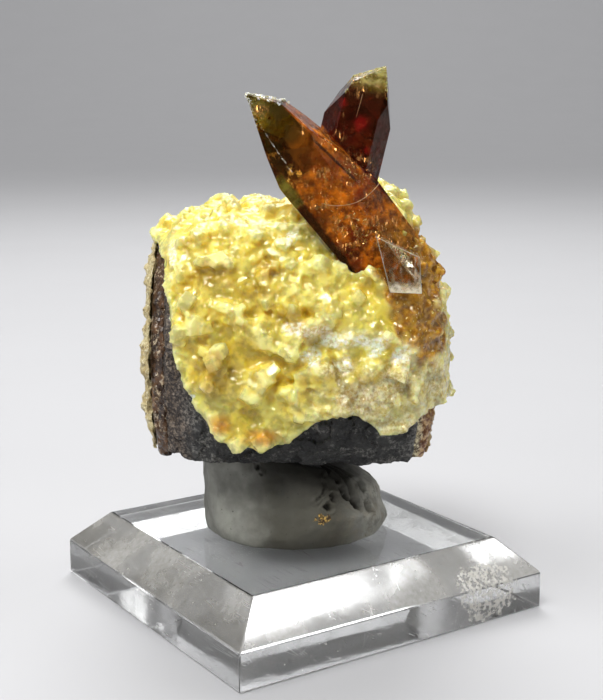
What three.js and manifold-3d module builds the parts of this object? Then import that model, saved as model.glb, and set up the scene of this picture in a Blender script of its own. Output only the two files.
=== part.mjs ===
// Golden barite on yellow calcite: a small mineral specimen on a bevelled clear stand.
//
// Millimetres, +Z up. The origin is the centre of the stand's underside, and the stand's sides run along X
// and Y. The specimen is a block of dark mudstone. A brown calcite vein and a tan rind wrap its left, back
// and right, a crust of yellow calcite crystals covers its face and top, and two long barite crystals cross
// on that crust. It sits on a lump of putty, turned on the stand, so it has a group of its own: there x runs
// to its right, y from its face to its back and z up.

import * as THREE from "three";
import { ImprovedNoise } from "three/addons/math/ImprovedNoise.js";
import { mergeVertices } from "three/addons/utils/BufferGeometryUtils.js";
import Module from "manifold-3d";

// ---------------------------------------------------------------- driving dimensions

const STAND_SIDE = 31.75; // a 1 1/4 inch square
const STAND_THICKNESS = 6.35; // of 1/4 inch sheet
const STAND_BEVEL = 3.05; // each way, at 45 degrees
const SPECIMEN_TURN = -33.7; // degrees about +Z

const PUTTY_RADIUS = 8.5;
const PUTTY_TOP = 14.2; // just under the block

const CLEAR_BARITE_THICKNESS = 2.6;
const CLEAR_BARITE_FRONT = -10.1;

const BLOCK_LEFT = -12.9; // the outside of the rind at its top and foot
const BLOCK_RIGHT = 12.2;
const BLOCK_FRONT = -9.2;
const BLOCK_BACK = 9.4;
const BLOCK_BOTTOM = 14.6;
const BLOCK_TOP = 35.1;

const BLOCK_MIDDLE = new THREE.Vector3(0, 0, (BLOCK_BOTTOM + BLOCK_TOP) / 2);

const RIND_THICKNESS = 0.9;
const VEIN_THICKNESS = 1.3;
const CRUST_THICKNESS = 0.75;
const CRYSTAL_COUNT = 112;
const FOOT_CRYSTALS = 10;
const CRYSTAL_SPACING = 0.43; // of the sizes of two neighbours

const LONG_BARITE_WIDTH = 6.8;
const LONG_BARITE_THICKNESS = 4.6;
const LONG_BARITE_TIP = new THREE.Vector3(-3.3, -7.8, 46.3);
const LONG_BARITE_FOOT = new THREE.Vector3(9.9, -5.3, 28.7);
const SECOND_BARITE_WIDTH = 5.7;
const SECOND_BARITE_THICKNESS = 3.8;
const SECOND_BARITE_TIP = new THREE.Vector3(6.2, -4.7, 48.2);
const SECOND_BARITE_FOOT = new THREE.Vector3(3.4, -4.4, 36.2);

const GAP = 0.08; // between pieces that touch
const FAR = 60; // a cutter's size, well past anything that it cuts

// ---------------------------------------------------------------- solids and meshes

const UP = new THREE.Vector3(0, 0, 1);

const wasm = await Module();
wasm.setup();

/** A closed three.js geometry as a solid that can be joined and cut. */
function solidOf(geometry) {
  const bare = geometry.clone();
  bare.deleteAttribute("normal");
  bare.deleteAttribute("uv");
  const merged = mergeVertices(bare, 1e-4);
  return new wasm.Manifold(
    new wasm.Mesh({
      numProp: 3,
      vertProperties: new Float32Array(merged.attributes.position.array),
      triVerts: new Uint32Array(merged.index.array),
    }),
  );
}

/** A solid as a named mesh with flat faces. */
function meshOf(name, solid, material) {
  const { vertProperties, triVerts } = solid.getMesh();
  const indexed = new THREE.BufferGeometry();
  indexed.setAttribute("position", new THREE.BufferAttribute(vertProperties, 3));
  indexed.setIndex(new THREE.BufferAttribute(triVerts, 1));
  const geometry = indexed.toNonIndexed();
  geometry.computeVertexNormals();
  const mesh = new THREE.Mesh(geometry, material);
  mesh.name = name;
  return mesh;
}

/** A geometry's vertices moved one by one, by a function of the old place. */
function reshape(geometry, move) {
  const position = geometry.attributes.position;
  const point = new THREE.Vector3();
  for (let i = 0; i < position.count; i += 1) {
    const moved = move(point.fromBufferAttribute(position, i));
    position.setXYZ(i, moved.x, moved.y, moved.z);
  }
  return geometry;
}

/** The largest body of a solid, without the loose chips that a cut can leave. */
function largestBody(solid) {
  return solid.decompose().reduce((best, body) => (body.volume() > best.volume() ? body : best));
}

/** The turn that takes +Z to a direction. */
const turnTo = (direction) => new THREE.Quaternion().setFromUnitVectors(UP, direction);

/** A solid without what lies beyond a plane, given by a point of it and the direction out of the solid. */
function facet(solid, point, outward) {
  const box = new THREE.BoxGeometry(FAR, FAR, FAR);
  box.translate(0, 0, FAR / 2);
  box.applyQuaternion(turnTo(outward));
  box.translate(point.x, point.y, point.z);
  return solid.subtract(solidOf(box));
}

/** A list of pairs of numbers as a list of points. */
const points = (pairs) => pairs.map(([x, y]) => new THREE.Vector2(x, y));

// ---------------------------------------------------------------- chance and roughness

/** A repeatable source of numbers from 0 to 1. */
function chance(seed) {
  let state = seed;
  return () => {
    state = (state + 0x6d2b79f5) | 0;
    let t = Math.imul(state ^ (state >>> 15), 1 | state);
    t = (t + Math.imul(t ^ (t >>> 7), 61 | t)) ^ t;
    return ((t ^ (t >>> 14)) >>> 0) / 4294967296;
  };
}

const noise = new ImprovedNoise();

/** Two octaves of smooth noise, from about -1 to 1, with lumps of the given size. */
function lumps(p, size, shift = 0) {
  const [x, y, z] = [p.x / size + shift, p.y / size + shift, p.z / size];
  return 1.3 * noise.noise(x, y, z) + 0.6 * noise.noise(2.1 * x + 9, 2.1 * y, 2.1 * z);
}

const past = (value, start) => Math.max(0, (value - start) / (1 - start));
const between = (low, high, share) => low + (high - low) * share;
const hump = (x, middle, width) => Math.exp(-(((x - middle) / width) ** 2));

// ---------------------------------------------------------------- the stand and the putty

function acrylicBase() {
  const corner = STAND_SIDE / Math.SQRT2;
  const ledge = (STAND_SIDE / 2 - STAND_BEVEL) * Math.SQRT2;
  const profile = [
    new THREE.Vector2(0, 0),
    new THREE.Vector2(corner, 0),
    new THREE.Vector2(corner, STAND_THICKNESS - STAND_BEVEL),
    new THREE.Vector2(ledge, STAND_THICKNESS),
    new THREE.Vector2(0, STAND_THICKNESS),
  ];
  const square = new THREE.LatheGeometry(profile, 4, Math.PI / 4);
  square.rotateX(Math.PI / 2);
  return solidOf(square);
}

/** A pressed lump: upright on its left, sloping away on its right, with creases round its right side. */
function mountingPutty() {
  const bottom = STAND_THICKNESS + GAP;
  const drum = new THREE.CylinderGeometry(1, 1, 1, 28, 8);
  drum.rotateX(Math.PI / 2);
  return solidOf(
    reshape(drum, (p) => {
      const t = p.z + 0.5;
      const reach = Math.hypot(p.x, p.y);
      const angle = Math.atan2(p.y, p.x);
      const side = new THREE.Vector3(Math.cos(angle), Math.sin(angle), t).multiplyScalar(PUTTY_RADIUS);
      const taper = 1 - 0.22 * t ** (3.2 + 1.6 * Math.cos(angle)) - 0.05 * (1 - t) ** 6;
      const dents = 0.03 * lumps(side, 6) + 0.02 * lumps(side, 2.2);
      const creases = 0.02 * Math.sin(11 * t + 2.5 * Math.sin(2 * angle)) * hump(angle, -0.5, 0.9);
      const radius = PUTTY_RADIUS * (taper + dents + creases) * reach;
      const middle = -0.3 - 1.9 * t ** 2.4; // it leans to the left
      const slump = 2.1 * t * past(Math.cos(angle) * reach, 0.05) ** 1.3; // and sags on the right
      return new THREE.Vector3(
        middle + radius * Math.cos(angle),
        0.1 + 0.92 * radius * Math.sin(angle),
        between(bottom, PUTTY_TOP, t) - slump,
      );
    }),
  );
}

// ---------------------------------------------------------------- the block

// faces along the block's width, depth and height
const ROCK_STEPS = [12, 4, 9];
const RIND_STEPS = [10, 7, 9];
const LAYER_STEPS = [8, 5, 6];
const CRUST_STEPS = [9, 6, 7];

/**
 * The place in the block of a point of the cube from -1 to 1: u from left to right, v from face to back,
 * w from bottom to top. grow moves the sides, the face, the top and the bottom outwards.
 */
function blockPoint(u, v, w, grow) {
  const { sides = 0, face = 0, top = 0, bottom = 0 } = grow;
  const belly = 1 - w * w;
  const left = BLOCK_LEFT - 0.8 * belly - 0.2 * v - sides;
  const right = BLOCK_RIGHT + 0.3 * belly - 0.4 * past(-w, 0.35) - 1.6 * past(w, 0.35) ** 2 + sides;
  const front =
    BLOCK_FRONT -
    face +
    4.4 * past(w, -0.1) ** 2 + // the face leans back towards the top
    2.6 * past(-u, 0.5) ** 1.3 + // its left end runs back to the rind
    1.6 * past(u, 0.7) ** 1.5 + // and its right end less so
    1.0 * past(-w, 0.75) + // the foot is undercut
    0.7 * hump(u, -0.3, 0.4) * hump(w, 0.1, 0.5) - // there is a shallow hollow in the middle
    0.8 * hump(u, 0.45, 0.35) * hump(w, -0.45, 0.3) - // a swelling low on the right
    0.5 * hump(u, 0.85, 0.3) * hump(w, 0.2, 0.3); // and another where the long barite grows out
  const back = BLOCK_BACK + 0.5 * belly - 0.8 * u * u + sides;
  const floor = BLOCK_BOTTOM - 0.2 * Math.cos(1.7 * u + 0.4) - bottom;
  const roof =
    BLOCK_TOP +
    top -
    2.6 * past(-u, 0.4) ** 1.6 -
    4.2 * past(u, 0.78) ** 1.5 +
    1.3 * hump(u, 0.7, 0.35) -
    1.2 * past(-v, 0.2) ** 2 -
    1.5 * past(v, 0.3) ** 2;
  const rounded = (Math.abs(u) ** 10 + Math.abs(v) ** 10) ** (1 / 10);
  const corner = Math.max(Math.abs(u), Math.abs(v)) / rounded || 1;
  return new THREE.Vector3(
    between(left, right, (u * corner + 1) / 2),
    between(front, back, (v * corner + 1) / 2),
    between(floor, roof, (w + 1) / 2),
  );
}

/** The block as a closed solid, with its sides, face, top and bottom grown and its surface roughened. */
function blockSolid(steps, grow = {}, roughness = () => new THREE.Vector3()) {
  const box = new THREE.BoxGeometry(2, 2, 2, ...steps);
  return solidOf(
    reshape(box, (p) => {
      const shift = roughness(blockPoint(p.x, p.y, p.z, {}), p);
      return blockPoint(p.x, p.y, p.z, grow).add(shift);
    }),
  );
}

/** A cutter that keeps the inside of the block, to a depth under its sides. */
function core(depth) {
  return blockSolid(LAYER_STEPS, { sides: -depth, face: 5, top: 5, bottom: 5 });
}

/** Broken mudstone: chips and small ledges on the face and foot. */
function chips(p, cube) {
  const ledges = 0.34 * Math.round(2.4 * lumps(p, 5)) + 0.4 * lumps(p, 2.2, 3);
  if (Math.abs(cube.z) > 0.99) return new THREE.Vector3(0, 0, 0.3 * ledges);
  const open = cube.y < 0.99 && Math.abs(cube.x) < 0.99 ? 1 : 0;
  return new THREE.Vector3(0.15 * ledges * open, 0.8 * ledges * open, 0);
}

/** Knobs on the outside of the rind. */
function knobs(p, cube) {
  if (Math.abs(cube.z) > 0.99) return new THREE.Vector3();
  const height = 0.3 * lumps(p, 2.0) + 0.35 * lumps(p, 4.6, 7);
  const sideways = Math.sign(cube.x) * Math.abs(cube.x) ** 8;
  const backwards = Math.max(0, cube.y) ** 4;
  return new THREE.Vector3(sideways, backwards, 0).multiplyScalar(height);
}

/** A solid with sockets for the feet of the barite crystals. */
const socketed = (solid) => largestBody(solid.subtract(bariteCrystals(GAP)));

/** The mudstone inside the vein. */
function matrixRock() {
  const rock = blockSolid(ROCK_STEPS, {}, chips).intersect(core(RIND_THICKNESS + VEIN_THICKNESS + GAP));
  return socketed(rock);
}

const tanRind = () => socketed(blockSolid(RIND_STEPS, {}, knobs).subtract(core(RIND_THICKNESS)));

/** The whole block, rock and layers, grown by the gap: a cutter for what lies on it. */
function grownBlock() {
  const grow = { sides: GAP, face: GAP, top: GAP, bottom: GAP };
  return blockSolid(ROCK_STEPS, grow, chips).add(blockSolid(RIND_STEPS, grow, knobs));
}

function brownVein() {
  const ends = blockSolid(LAYER_STEPS, { top: -0.15, bottom: -0.1, face: -0.15 });
  const outer = core(RIND_THICKNESS + GAP).intersect(ends);
  return socketed(outer.subtract(core(RIND_THICKNESS + VEIN_THICKNESS)));
}

// ---------------------------------------------------------------- the barite

/**
 * A prism with six sides whose axis is +Z, its tip at the origin and its body below, cut to a chisel by
 * facets. Each facet is given by a point [across, out, down from the tip] and the direction it faces, in the
 * same three parts but with the last one up. swell moves every side and facet outwards.
 */
function chiselCrystal({ section, facets, length }, swell) {
  const corners = points(section).map((corner) => corner.setLength(corner.length() + swell));
  const outline = new THREE.Shape(corners);
  const prism = new THREE.ExtrudeGeometry(outline, { depth: length + 2 * swell, bevelEnabled: false });
  prism.translate(0, 0, -length - swell);
  return facets.reduce((solid, [[x, y, down], direction]) => {
    const outward = new THREE.Vector3(...direction).normalize();
    return facet(solid, new THREE.Vector3(x, y, -down).addScaledVector(outward, swell), outward);
  }, solidOf(prism));
}

/** A solid moved so that its tip is at a place and its axis runs down to a foot, flat side to the front. */
function stood(solid, tip, foot) {
  const up = tip.clone().sub(foot).normalize();
  const across = new THREE.Vector3(0, 1, 0).cross(up).normalize();
  const out = up.clone().cross(across);
  const place = new THREE.Matrix4().makeBasis(across, out, up).setPosition(tip);
  return solid.transform(place.elements);
}

/** The section of a barite prism: a hexagon, broad across and flatter from front to back. */
function baritePrism(width, thickness, lopsided) {
  const [half, deep] = [width / 2, thickness / 2];
  const front = [
    [-half, 0.2 * deep],
    [-half * (0.55 + lopsided), -0.85 * deep],
    [half * (0.55 - lopsided), -deep],
  ];
  return [...front, ...front.map(([across, out]) => [-across, -out])];
}

function longBarite(swell) {
  const facets = [
    [[-1.0, 0, 0], [-8.5, 0.8, 2.6]], // left
    [[-1.0, 0, 0], [2.4, -0.2, 2.0]], // right, at the tip
    [[1.0, 0, 2.5], [9.6, -1.2, 2.5]], // right, below that
    [[-1.0, -0.3, 0], [0.4, -5.0, 1.7]], // front
    [[-1.0, 0.3, 0], [0, 5.0, 1.9]], // back
  ];
  const section = baritePrism(LONG_BARITE_WIDTH, LONG_BARITE_THICKNESS, 0.26);
  const length = LONG_BARITE_TIP.distanceTo(LONG_BARITE_FOOT);
  return stood(chiselCrystal({ section, facets, length }, swell), LONG_BARITE_TIP, LONG_BARITE_FOOT);
}

function secondBarite(swell) {
  const facets = [
    [[1.3, 0, 0], [-1.3, -0.5, 2.1]], // left, at the tip
    [[-1.7, 0, 2.65], [-2.0, -0.2, 1.0]], // left, below that
    [[1.3, 0, 0], [2.3, -0.3, 0.75]], // right
    [[1.3, -0.2, 0], [0.6, -4.0, 1.6]], // front
    [[1.3, 0.2, 0], [0, 4.0, 1.7]], // back
  ];
  const section = baritePrism(SECOND_BARITE_WIDTH, SECOND_BARITE_THICKNESS, 0);
  const length = SECOND_BARITE_TIP.distanceTo(SECOND_BARITE_FOOT);
  return stood(chiselCrystal({ section, facets, length }, swell), SECOND_BARITE_TIP, SECOND_BARITE_FOOT);
}

/** The two crystals, grown through each other. */
const bariteCrystals = (swell = 0) => longBarite(swell).add(secondBarite(swell));

/** A small clear tablet that leans on the foot of the long barite. */
function clearTablet(swell = 0) {
  const middle = new THREE.Vector3(8.7, CLEAR_BARITE_FRONT, 31.5);
  const corners = points([
    [-2.2, 2.8],
    [-1.0, -1.8],
    [1.6, -1.9],
    [1.4, 1.1],
  ]).map((corner) => corner.setLength(corner.length() + 1.5 * swell));
  const options = { depth: CLEAR_BARITE_THICKNESS + 2 * swell, bevelEnabled: false };
  const tablet = new THREE.ExtrudeGeometry(new THREE.Shape(corners), options);
  tablet.rotateX(Math.PI / 2);
  tablet.translate(middle.x, middle.y + CLEAR_BARITE_THICKNESS + swell, middle.z);
  return solidOf(tablet);
}

const clearCrystal = () => clearTablet().subtract(bariteCrystals(GAP)).subtract(grownBlock());

// ---------------------------------------------------------------- the crust

/** The outline of the crust seen from the front: its ragged lower edge, and open above and to the right. */
function crustOutline() {
  const shape = new THREE.Shape();
  shape.moveTo(-14.5, 40);
  shape.lineTo(-14.2, 33.6);
  const lowerEdge = [
    [-11.9, 32.2],
    [-10.9, 29],
    [-9.9, 22.8],
    [-7.4, 18.3],
    [-4.7, 16.4],
    [-0.8, 16.9],
    [2.0, 18.9],
    [5.0, 19.3],
    [7.2, 17.7],
    [9.2, 18.1],
    [12.0, 19.6],
    [15.5, 18.9],
  ];
  shape.splineThru(points(lowerEdge));
  shape.lineTo(15.5, 40);
  return shape;
}

/** The outline of the crust as seen from above: its ragged back edge, and open to the front. */
function crustPlan() {
  const shape = new THREE.Shape();
  shape.moveTo(-17, -16);
  shape.lineTo(-17, 1.6);
  const backEdge = [
    [-12, 2.4],
    [-7, 5.4],
    [-2, 4.2],
    [4, 6.3],
    [9, 4.6],
    [12.5, 5.2],
    [17, 0.5],
  ];
  shape.splineThru(points(backEdge));
  shape.lineTo(17, -16);
  return shape;
}

/** A cutter that keeps what lies inside the crust's outline from the front and from above. */
function crustCutter() {
  const options = { depth: 32, steps: 8, bevelEnabled: false, curveSegments: 11 };
  const fromFront = new THREE.ExtrudeGeometry(crustOutline(), options);
  fromFront.rotateX(Math.PI / 2);
  fromFront.translate(0, options.depth / 2, 0);
  reshape(fromFront, (p) => p.setZ(p.z + 0.9 * lumps(p, 3.5) * past(p.y, BLOCK_FRONT)));
  const fromAbove = new THREE.ExtrudeGeometry(crustPlan(), options);
  fromAbove.translate(0, 0, BLOCK_TOP - 0.8 * options.depth);
  reshape(fromAbove, (p) => p.setY(p.y + 1.4 * lumps(p, 4)));
  return solidOf(fromFront).intersect(solidOf(fromAbove));
}

/** Where a crystal can grow: a place on the face, the top or the right side, and the way out there. */
function growingPlace(random) {
  const side = random();
  const [a, b] = [between(-0.93, 1, random()), between(-1, 1, random())];
  const at = (da, db) => {
    if (side < 0.62) return blockPoint(a + da, -1, b + db, {});
    if (side < 0.85) return blockPoint(a + da, 0.75 * b - 0.25 + db, 1, {});
    return blockPoint(1, 0.7 * b - 0.3 + da, b + db, {});
  };
  const place = at(0, 0);
  const step = 0.02;
  const along = at(step, 0).sub(place);
  const outward = at(0, step).sub(place).cross(along).normalize();
  const fromMiddle = place.clone().sub(BLOCK_MIDDLE);
  return { place, outward: outward.dot(fromMiddle) < 0 ? outward.negate() : outward };
}

/** Coarse crystals in the middle of the left half, and finer ones towards the right, the foot and the top. */
const crystalSize = (p) => 2.0 + 1.5 * hump(p.x, -4.5, 8) * hump(p.z, 26, 8);

/** A calcite rhombohedron: a cube stood on a corner and stretched along its upright diagonal. */
function rhombohedron(size, stretch) {
  const cube = new THREE.BoxGeometry(size, size, size);
  const diagonal = new THREE.Vector3(1, 1, 1).normalize();
  cube.applyQuaternion(turnTo(diagonal).invert());
  return cube.scale(1, 1, stretch);
}

/** Places round the foot of the long barite, where calcite has grown over its end. */
function footPlaces(random) {
  return Array.from({ length: FOOT_CRYSTALS }, (_, i) => {
    const angle = between(-0.2, 3.6, i / (FOOT_CRYSTALS - 1));
    const [across, out] = [Math.cos(angle), Math.sin(angle)];
    const outward = new THREE.Vector3(0.6 * across, -out, 0.5 * across - 0.6);
    const place = LONG_BARITE_FOOT.clone().addScaledVector(outward, 2.6);
    return { place, outward: outward.normalize(), size: between(1.6, 2.3, random()) };
  });
}

/** Rhombohedra that lean together in patches, each half sunk in the crust. */
function crustCrystals() {
  const random = chance(11);
  const grown = footPlaces(random);
  for (let i = 0; i < 6000 && grown.length < CRYSTAL_COUNT; i += 1) {
    const { place, outward } = growingPlace(random);
    const size = crystalSize(place) * between(0.75, 1.2, random());
    const crowded = grown.some((g) => g.place.distanceTo(place) < CRYSTAL_SPACING * (g.size + size));
    if (!crowded) grown.push({ place, outward, size });
  }
  return grown.map(({ place, outward, size }) => {
    const lean = new THREE.Vector3(lumps(place, 6, 2), lumps(place, 6, 5), lumps(place, 6, 8));
    const axis = outward.clone().addScaledVector(lean, 1.1).normalize();
    const crystal = rhombohedron(size, between(0.8, 1.15, random()));
    crystal.rotateZ(2.5 * lumps(place, 8, 1) + 0.4 * random());
    crystal.applyQuaternion(turnTo(axis));
    const centre = place.clone().addScaledVector(outward, 0.5 - 0.2 * size);
    crystal.translate(centre.x, centre.y, centre.z);
    return solidOf(crystal);
  });
}

/** The crust: a sheet on the block with its crystals, cut to its outline and fitted round the barite. */
function calciteDruse() {
  const grow = { sides: CRUST_THICKNESS, face: CRUST_THICKNESS, top: CRUST_THICKNESS };
  const sheet = blockSolid(CRUST_STEPS, grow);
  const whole = wasm.Manifold.union([sheet, ...crustCrystals()]).intersect(crustCutter());
  const barite = bariteCrystals(GAP).add(clearTablet(GAP));
  return largestBody(whole.subtract(grownBlock()).subtract(barite));
}

// ---------------------------------------------------------------- materials and the whole

const finish = (color, roughness, extra = {}) =>
  new THREE.MeshStandardMaterial({ color, roughness, metalness: 0, flatShading: true, ...extra });

const acrylic = finish(0xe6eaec, 0.08, { transparent: true, opacity: 0.35 });
const putty = finish(0x8f8f80, 0.9);
const mudstone = finish(0x35363a, 0.75);
const brownCalcite = finish(0x4a2d1c, 0.5);
const tanCalcite = finish(0xc9b887, 0.8);
const yellowCalcite = finish(0xdfc45a, 0.3);
const amberBarite = finish(0x7c2e0c, 0.12);
const clearBarite = finish(0xe4dccb, 0.05, { transparent: true, opacity: 0.4 });

const specimen = new THREE.Group();
specimen.rotation.z = THREE.MathUtils.degToRad(SPECIMEN_TURN);
specimen.add(
  meshOf("mounting_putty", mountingPutty(), putty),
  meshOf("matrix_rock", matrixRock(), mudstone),
  meshOf("brown_calcite_vein", brownVein(), brownCalcite),
  meshOf("tan_rind", tanRind(), tanCalcite),
  meshOf("yellow_calcite_druse", calciteDruse(), yellowCalcite),
  meshOf("barite_crystals", bariteCrystals(), amberBarite),
  meshOf("clear_barite_crystal", clearCrystal(), clearBarite),
);

const whole = new THREE.Group();
whole.add(meshOf("acrylic_base", acrylicBase(), acrylic), specimen);

export default whole;
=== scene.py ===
# %% [markdown]
# # Golden barite on yellow calcite
#
# A thumbnail specimen on a clear stand. Dark mudstone carries a brown calcite vein and a tan rind on its
# sides and a crust of yellow calcite on its face; two amber barite crystals cross on the crust. The solids
# come ready-made as a fixed frame, in metres. This lesson dresses each of them: a finer mesh where the real
# surface is rough, and a finish for every piece.

import math

import bmesh
import bpy
import numpy as np
from mathutils import Matrix, Vector, noise
from mathutils.bvhtree import BVHTree
from mathutils.kdtree import KDTree


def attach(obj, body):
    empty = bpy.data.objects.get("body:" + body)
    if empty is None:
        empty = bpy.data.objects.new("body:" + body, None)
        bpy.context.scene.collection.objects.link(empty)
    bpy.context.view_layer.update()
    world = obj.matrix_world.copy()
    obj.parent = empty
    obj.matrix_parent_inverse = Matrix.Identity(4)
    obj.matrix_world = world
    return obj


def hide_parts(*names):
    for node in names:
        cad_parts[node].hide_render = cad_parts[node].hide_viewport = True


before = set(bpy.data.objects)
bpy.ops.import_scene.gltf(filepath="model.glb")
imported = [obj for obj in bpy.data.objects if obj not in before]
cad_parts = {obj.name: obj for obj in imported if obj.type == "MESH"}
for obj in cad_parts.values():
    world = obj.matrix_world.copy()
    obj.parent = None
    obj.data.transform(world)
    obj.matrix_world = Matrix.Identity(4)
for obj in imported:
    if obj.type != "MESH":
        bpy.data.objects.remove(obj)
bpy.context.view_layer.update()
MM = 0.001
print("nodes:", ", ".join(sorted(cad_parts)))

# %% [markdown]
# ## Camera
#
# A long lens looks a little down on one corner of the stand. The camera is set first, because every other
# choice is judged through it.

# %% The camera
CAMERA_AZIMUTH = math.radians(-33.71)
CAMERA_DOWN = math.radians(11.64)
CAMERA_DISTANCE = 122.8 * MM
CAMERA_TARGET = Vector((0.49, 0.0, 22.76)) * MM

back = Vector((
    math.sin(CAMERA_AZIMUTH) * math.cos(CAMERA_DOWN),
    -math.cos(CAMERA_AZIMUTH) * math.cos(CAMERA_DOWN),
    math.sin(CAMERA_DOWN),
))
camera = bpy.data.objects.new("camera", bpy.data.cameras.new("camera"))
camera.data.lens = 69.7
camera.data.clip_start = 5 * MM
camera.data.clip_end = 5.0
camera.location = CAMERA_TARGET + CAMERA_DISTANCE * back
camera.rotation_mode = "QUATERNION"
camera.rotation_quaternion = (-back).to_track_quat("-Z", "Y")
bpy.context.collection.objects.link(camera)
bpy.context.scene.camera = camera
print("camera at", [round(v / MM, 1) for v in camera.location], "mm")

# %% [markdown]
# ## Light and floor
#
# A crystal shows what it reflects. Two large soft boxes give broad white glints on the flat faces, a third
# one behind the piece lights its edges through the calcite, and the pale floor runs up into a pale wall
# with no line between them.

# %% The floor and its wall
FLOOR_WIDTH = 4.0
FLOOR_LEVEL = -0.05 * MM  # a hair under the stand, so that the two never share a plane
FLOOR_FRONT = -1.5
WALL_AT = 1.8
WALL_HEIGHT = 1.6
WALL_CURVE = 0.8


def sweep_floor():
    """A strip that starts in front, lies flat, curves up and ends as a wall, turned to face the camera."""
    bm = bmesh.new()
    profile = [(FLOOR_FRONT, 0.0), (WALL_AT - WALL_CURVE, 0.0)]
    for i in range(1, 17):
        turn = math.radians(90 * i / 16)
        profile.append((
            WALL_AT - WALL_CURVE + WALL_CURVE * math.sin(turn),
            WALL_CURVE * (1 - math.cos(turn)),
        ))
    profile.append((WALL_AT, WALL_HEIGHT))
    line = [bm.verts.new((-FLOOR_WIDTH / 2, y, z)) for y, z in profile]
    edges = [bm.edges.new(pair) for pair in zip(line, line[1:])]
    swept = bmesh.ops.extrude_edge_only(bm, edges=edges)["geom"]
    moved = [part for part in swept if isinstance(part, bmesh.types.BMVert)]
    bmesh.ops.translate(bm, verts=moved, vec=(FLOOR_WIDTH, 0, 0))
    bmesh.ops.translate(bm, verts=bm.verts, vec=(0, 0, FLOOR_LEVEL))
    bmesh.ops.rotate(bm, verts=bm.verts, cent=(0, 0, 0), matrix=Matrix.Rotation(CAMERA_AZIMUTH, 3, "Z"))
    bmesh.ops.recalc_face_normals(bm, faces=bm.faces)
    for face in bm.faces:
        face.smooth = True
    return bm


floor_mesh = bpy.data.meshes.new("floor")
floor_bmesh = sweep_floor()
floor_bmesh.to_mesh(floor_mesh)
floor_bmesh.free()
floor = bpy.data.objects.new("floor", floor_mesh)
bpy.context.collection.objects.link(floor)
print("floor faces:", len(floor_mesh.polygons))

# %% The lamps
def direction(azimuth, height):
    """The way out at an azimuth and a height angle in degrees; azimuth 0 is in front."""
    a = math.radians(azimuth)
    h = math.radians(height)
    return Vector((math.sin(a) * math.cos(h), -math.cos(a) * math.cos(h), math.sin(h)))


def soft_box(name, out, distance, size, power, target=CAMERA_TARGET):
    """A square area lamp that looks at a target from a direction."""
    lamp = bpy.data.objects.new(name, bpy.data.lights.new(name, "AREA"))
    lamp.data.shape = "SQUARE"
    lamp.data.size = size
    lamp.data.energy = power
    lamp.location = target + distance * out
    lamp.rotation_mode = "QUATERNION"
    lamp.rotation_quaternion = (-out).to_track_quat("-Z", "Y")
    bpy.context.collection.objects.link(lamp)


AWAY = Vector((-math.sin(CAMERA_AZIMUTH), math.cos(CAMERA_AZIMUTH), 0))
NEAR_LAMP = direction(-52, 58)
soft_box("key_lamp", direction(-95, 54), distance=0.36, size=0.16, power=0.60)
soft_box("near_lamp", NEAR_LAMP, distance=0.40, size=0.11, power=1.02)
soft_box("side_lamp", direction(55, 30), distance=0.42, size=0.20, power=0.30)
soft_box("edge_lamp", direction(150, 48), distance=0.36, size=0.22, power=0.65)
soft_box("wall_lamp", direction(0, 88), distance=1.6, size=1.0, power=14.0, target=AWAY * 1.1)

world = bpy.data.worlds.new("studio")
world.use_nodes = True
world.node_tree.nodes["Background"].inputs["Color"].default_value = (0.88, 0.88, 0.90, 1)
world.node_tree.nodes["Background"].inputs["Strength"].default_value = 0.24
bpy.context.scene.world = world
bpy.context.scene.view_settings.view_transform = "Standard"

# %% [markdown]
# ## The specimen's own directions
#
# The specimen stands turned on its base. Its x runs to its right as it faces us, y from its face to its
# back and z up, so every feature of it is placed in those directions, in millimetres, and turned into the
# frame at the end.

# %% From the specimen to the frame
SPECIMEN_TURN = math.radians(-33.7)
TO_THE_RIGHT = Vector((1, 0, 0))
UP = Vector((0, 0, 1))
to_frame = Matrix.Rotation(SPECIMEN_TURN, 4, "Z") @ Matrix.Scale(MM, 4)
to_specimen = to_frame.inverted()
print("the camera sits at", [round(v, 1) for v in to_specimen @ camera.location], "of the specimen")

# %% [markdown]
# ## A small language for materials
#
# A finish is a graph of nodes. Two small classes keep it readable: a Value is a socket that can be added,
# multiplied or compared like a number, and a Finish adds any node by its type.

# %% Values
class Value:
    """The output of a node. Arithmetic on it adds Math nodes."""

    def __init__(self, finish, socket):
        self.finish = finish
        self.socket = socket

    def math(self, operation, other=0.0, first=None):
        a = self if first is None else first
        return self.finish.add("ShaderNodeMath", {"operation": operation}, {0: a, 1: other})

    def __add__(self, other):
        return self.math("ADD", other)

    def __sub__(self, other):
        return self.math("SUBTRACT", other)

    def __rsub__(self, other):
        return self.math("SUBTRACT", self, first=other)

    def __mul__(self, other):
        return self.math("MULTIPLY", other)

    def __abs__(self):
        return self.math("ABSOLUTE")

    __radd__ = __add__
    __rmul__ = __mul__

    def most(self, other):
        """The larger of the two."""
        return self.math("MAXIMUM", other)

    def over(self, low, high):
        """0 below low, 1 above high and a smooth rise between them."""
        settings = {"interpolation_type": "SMOOTHSTEP"}
        inputs = {"Value": self, "From Min": low, "From Max": high}
        return self.finish.add("ShaderNodeMapRange", settings, inputs)


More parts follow.
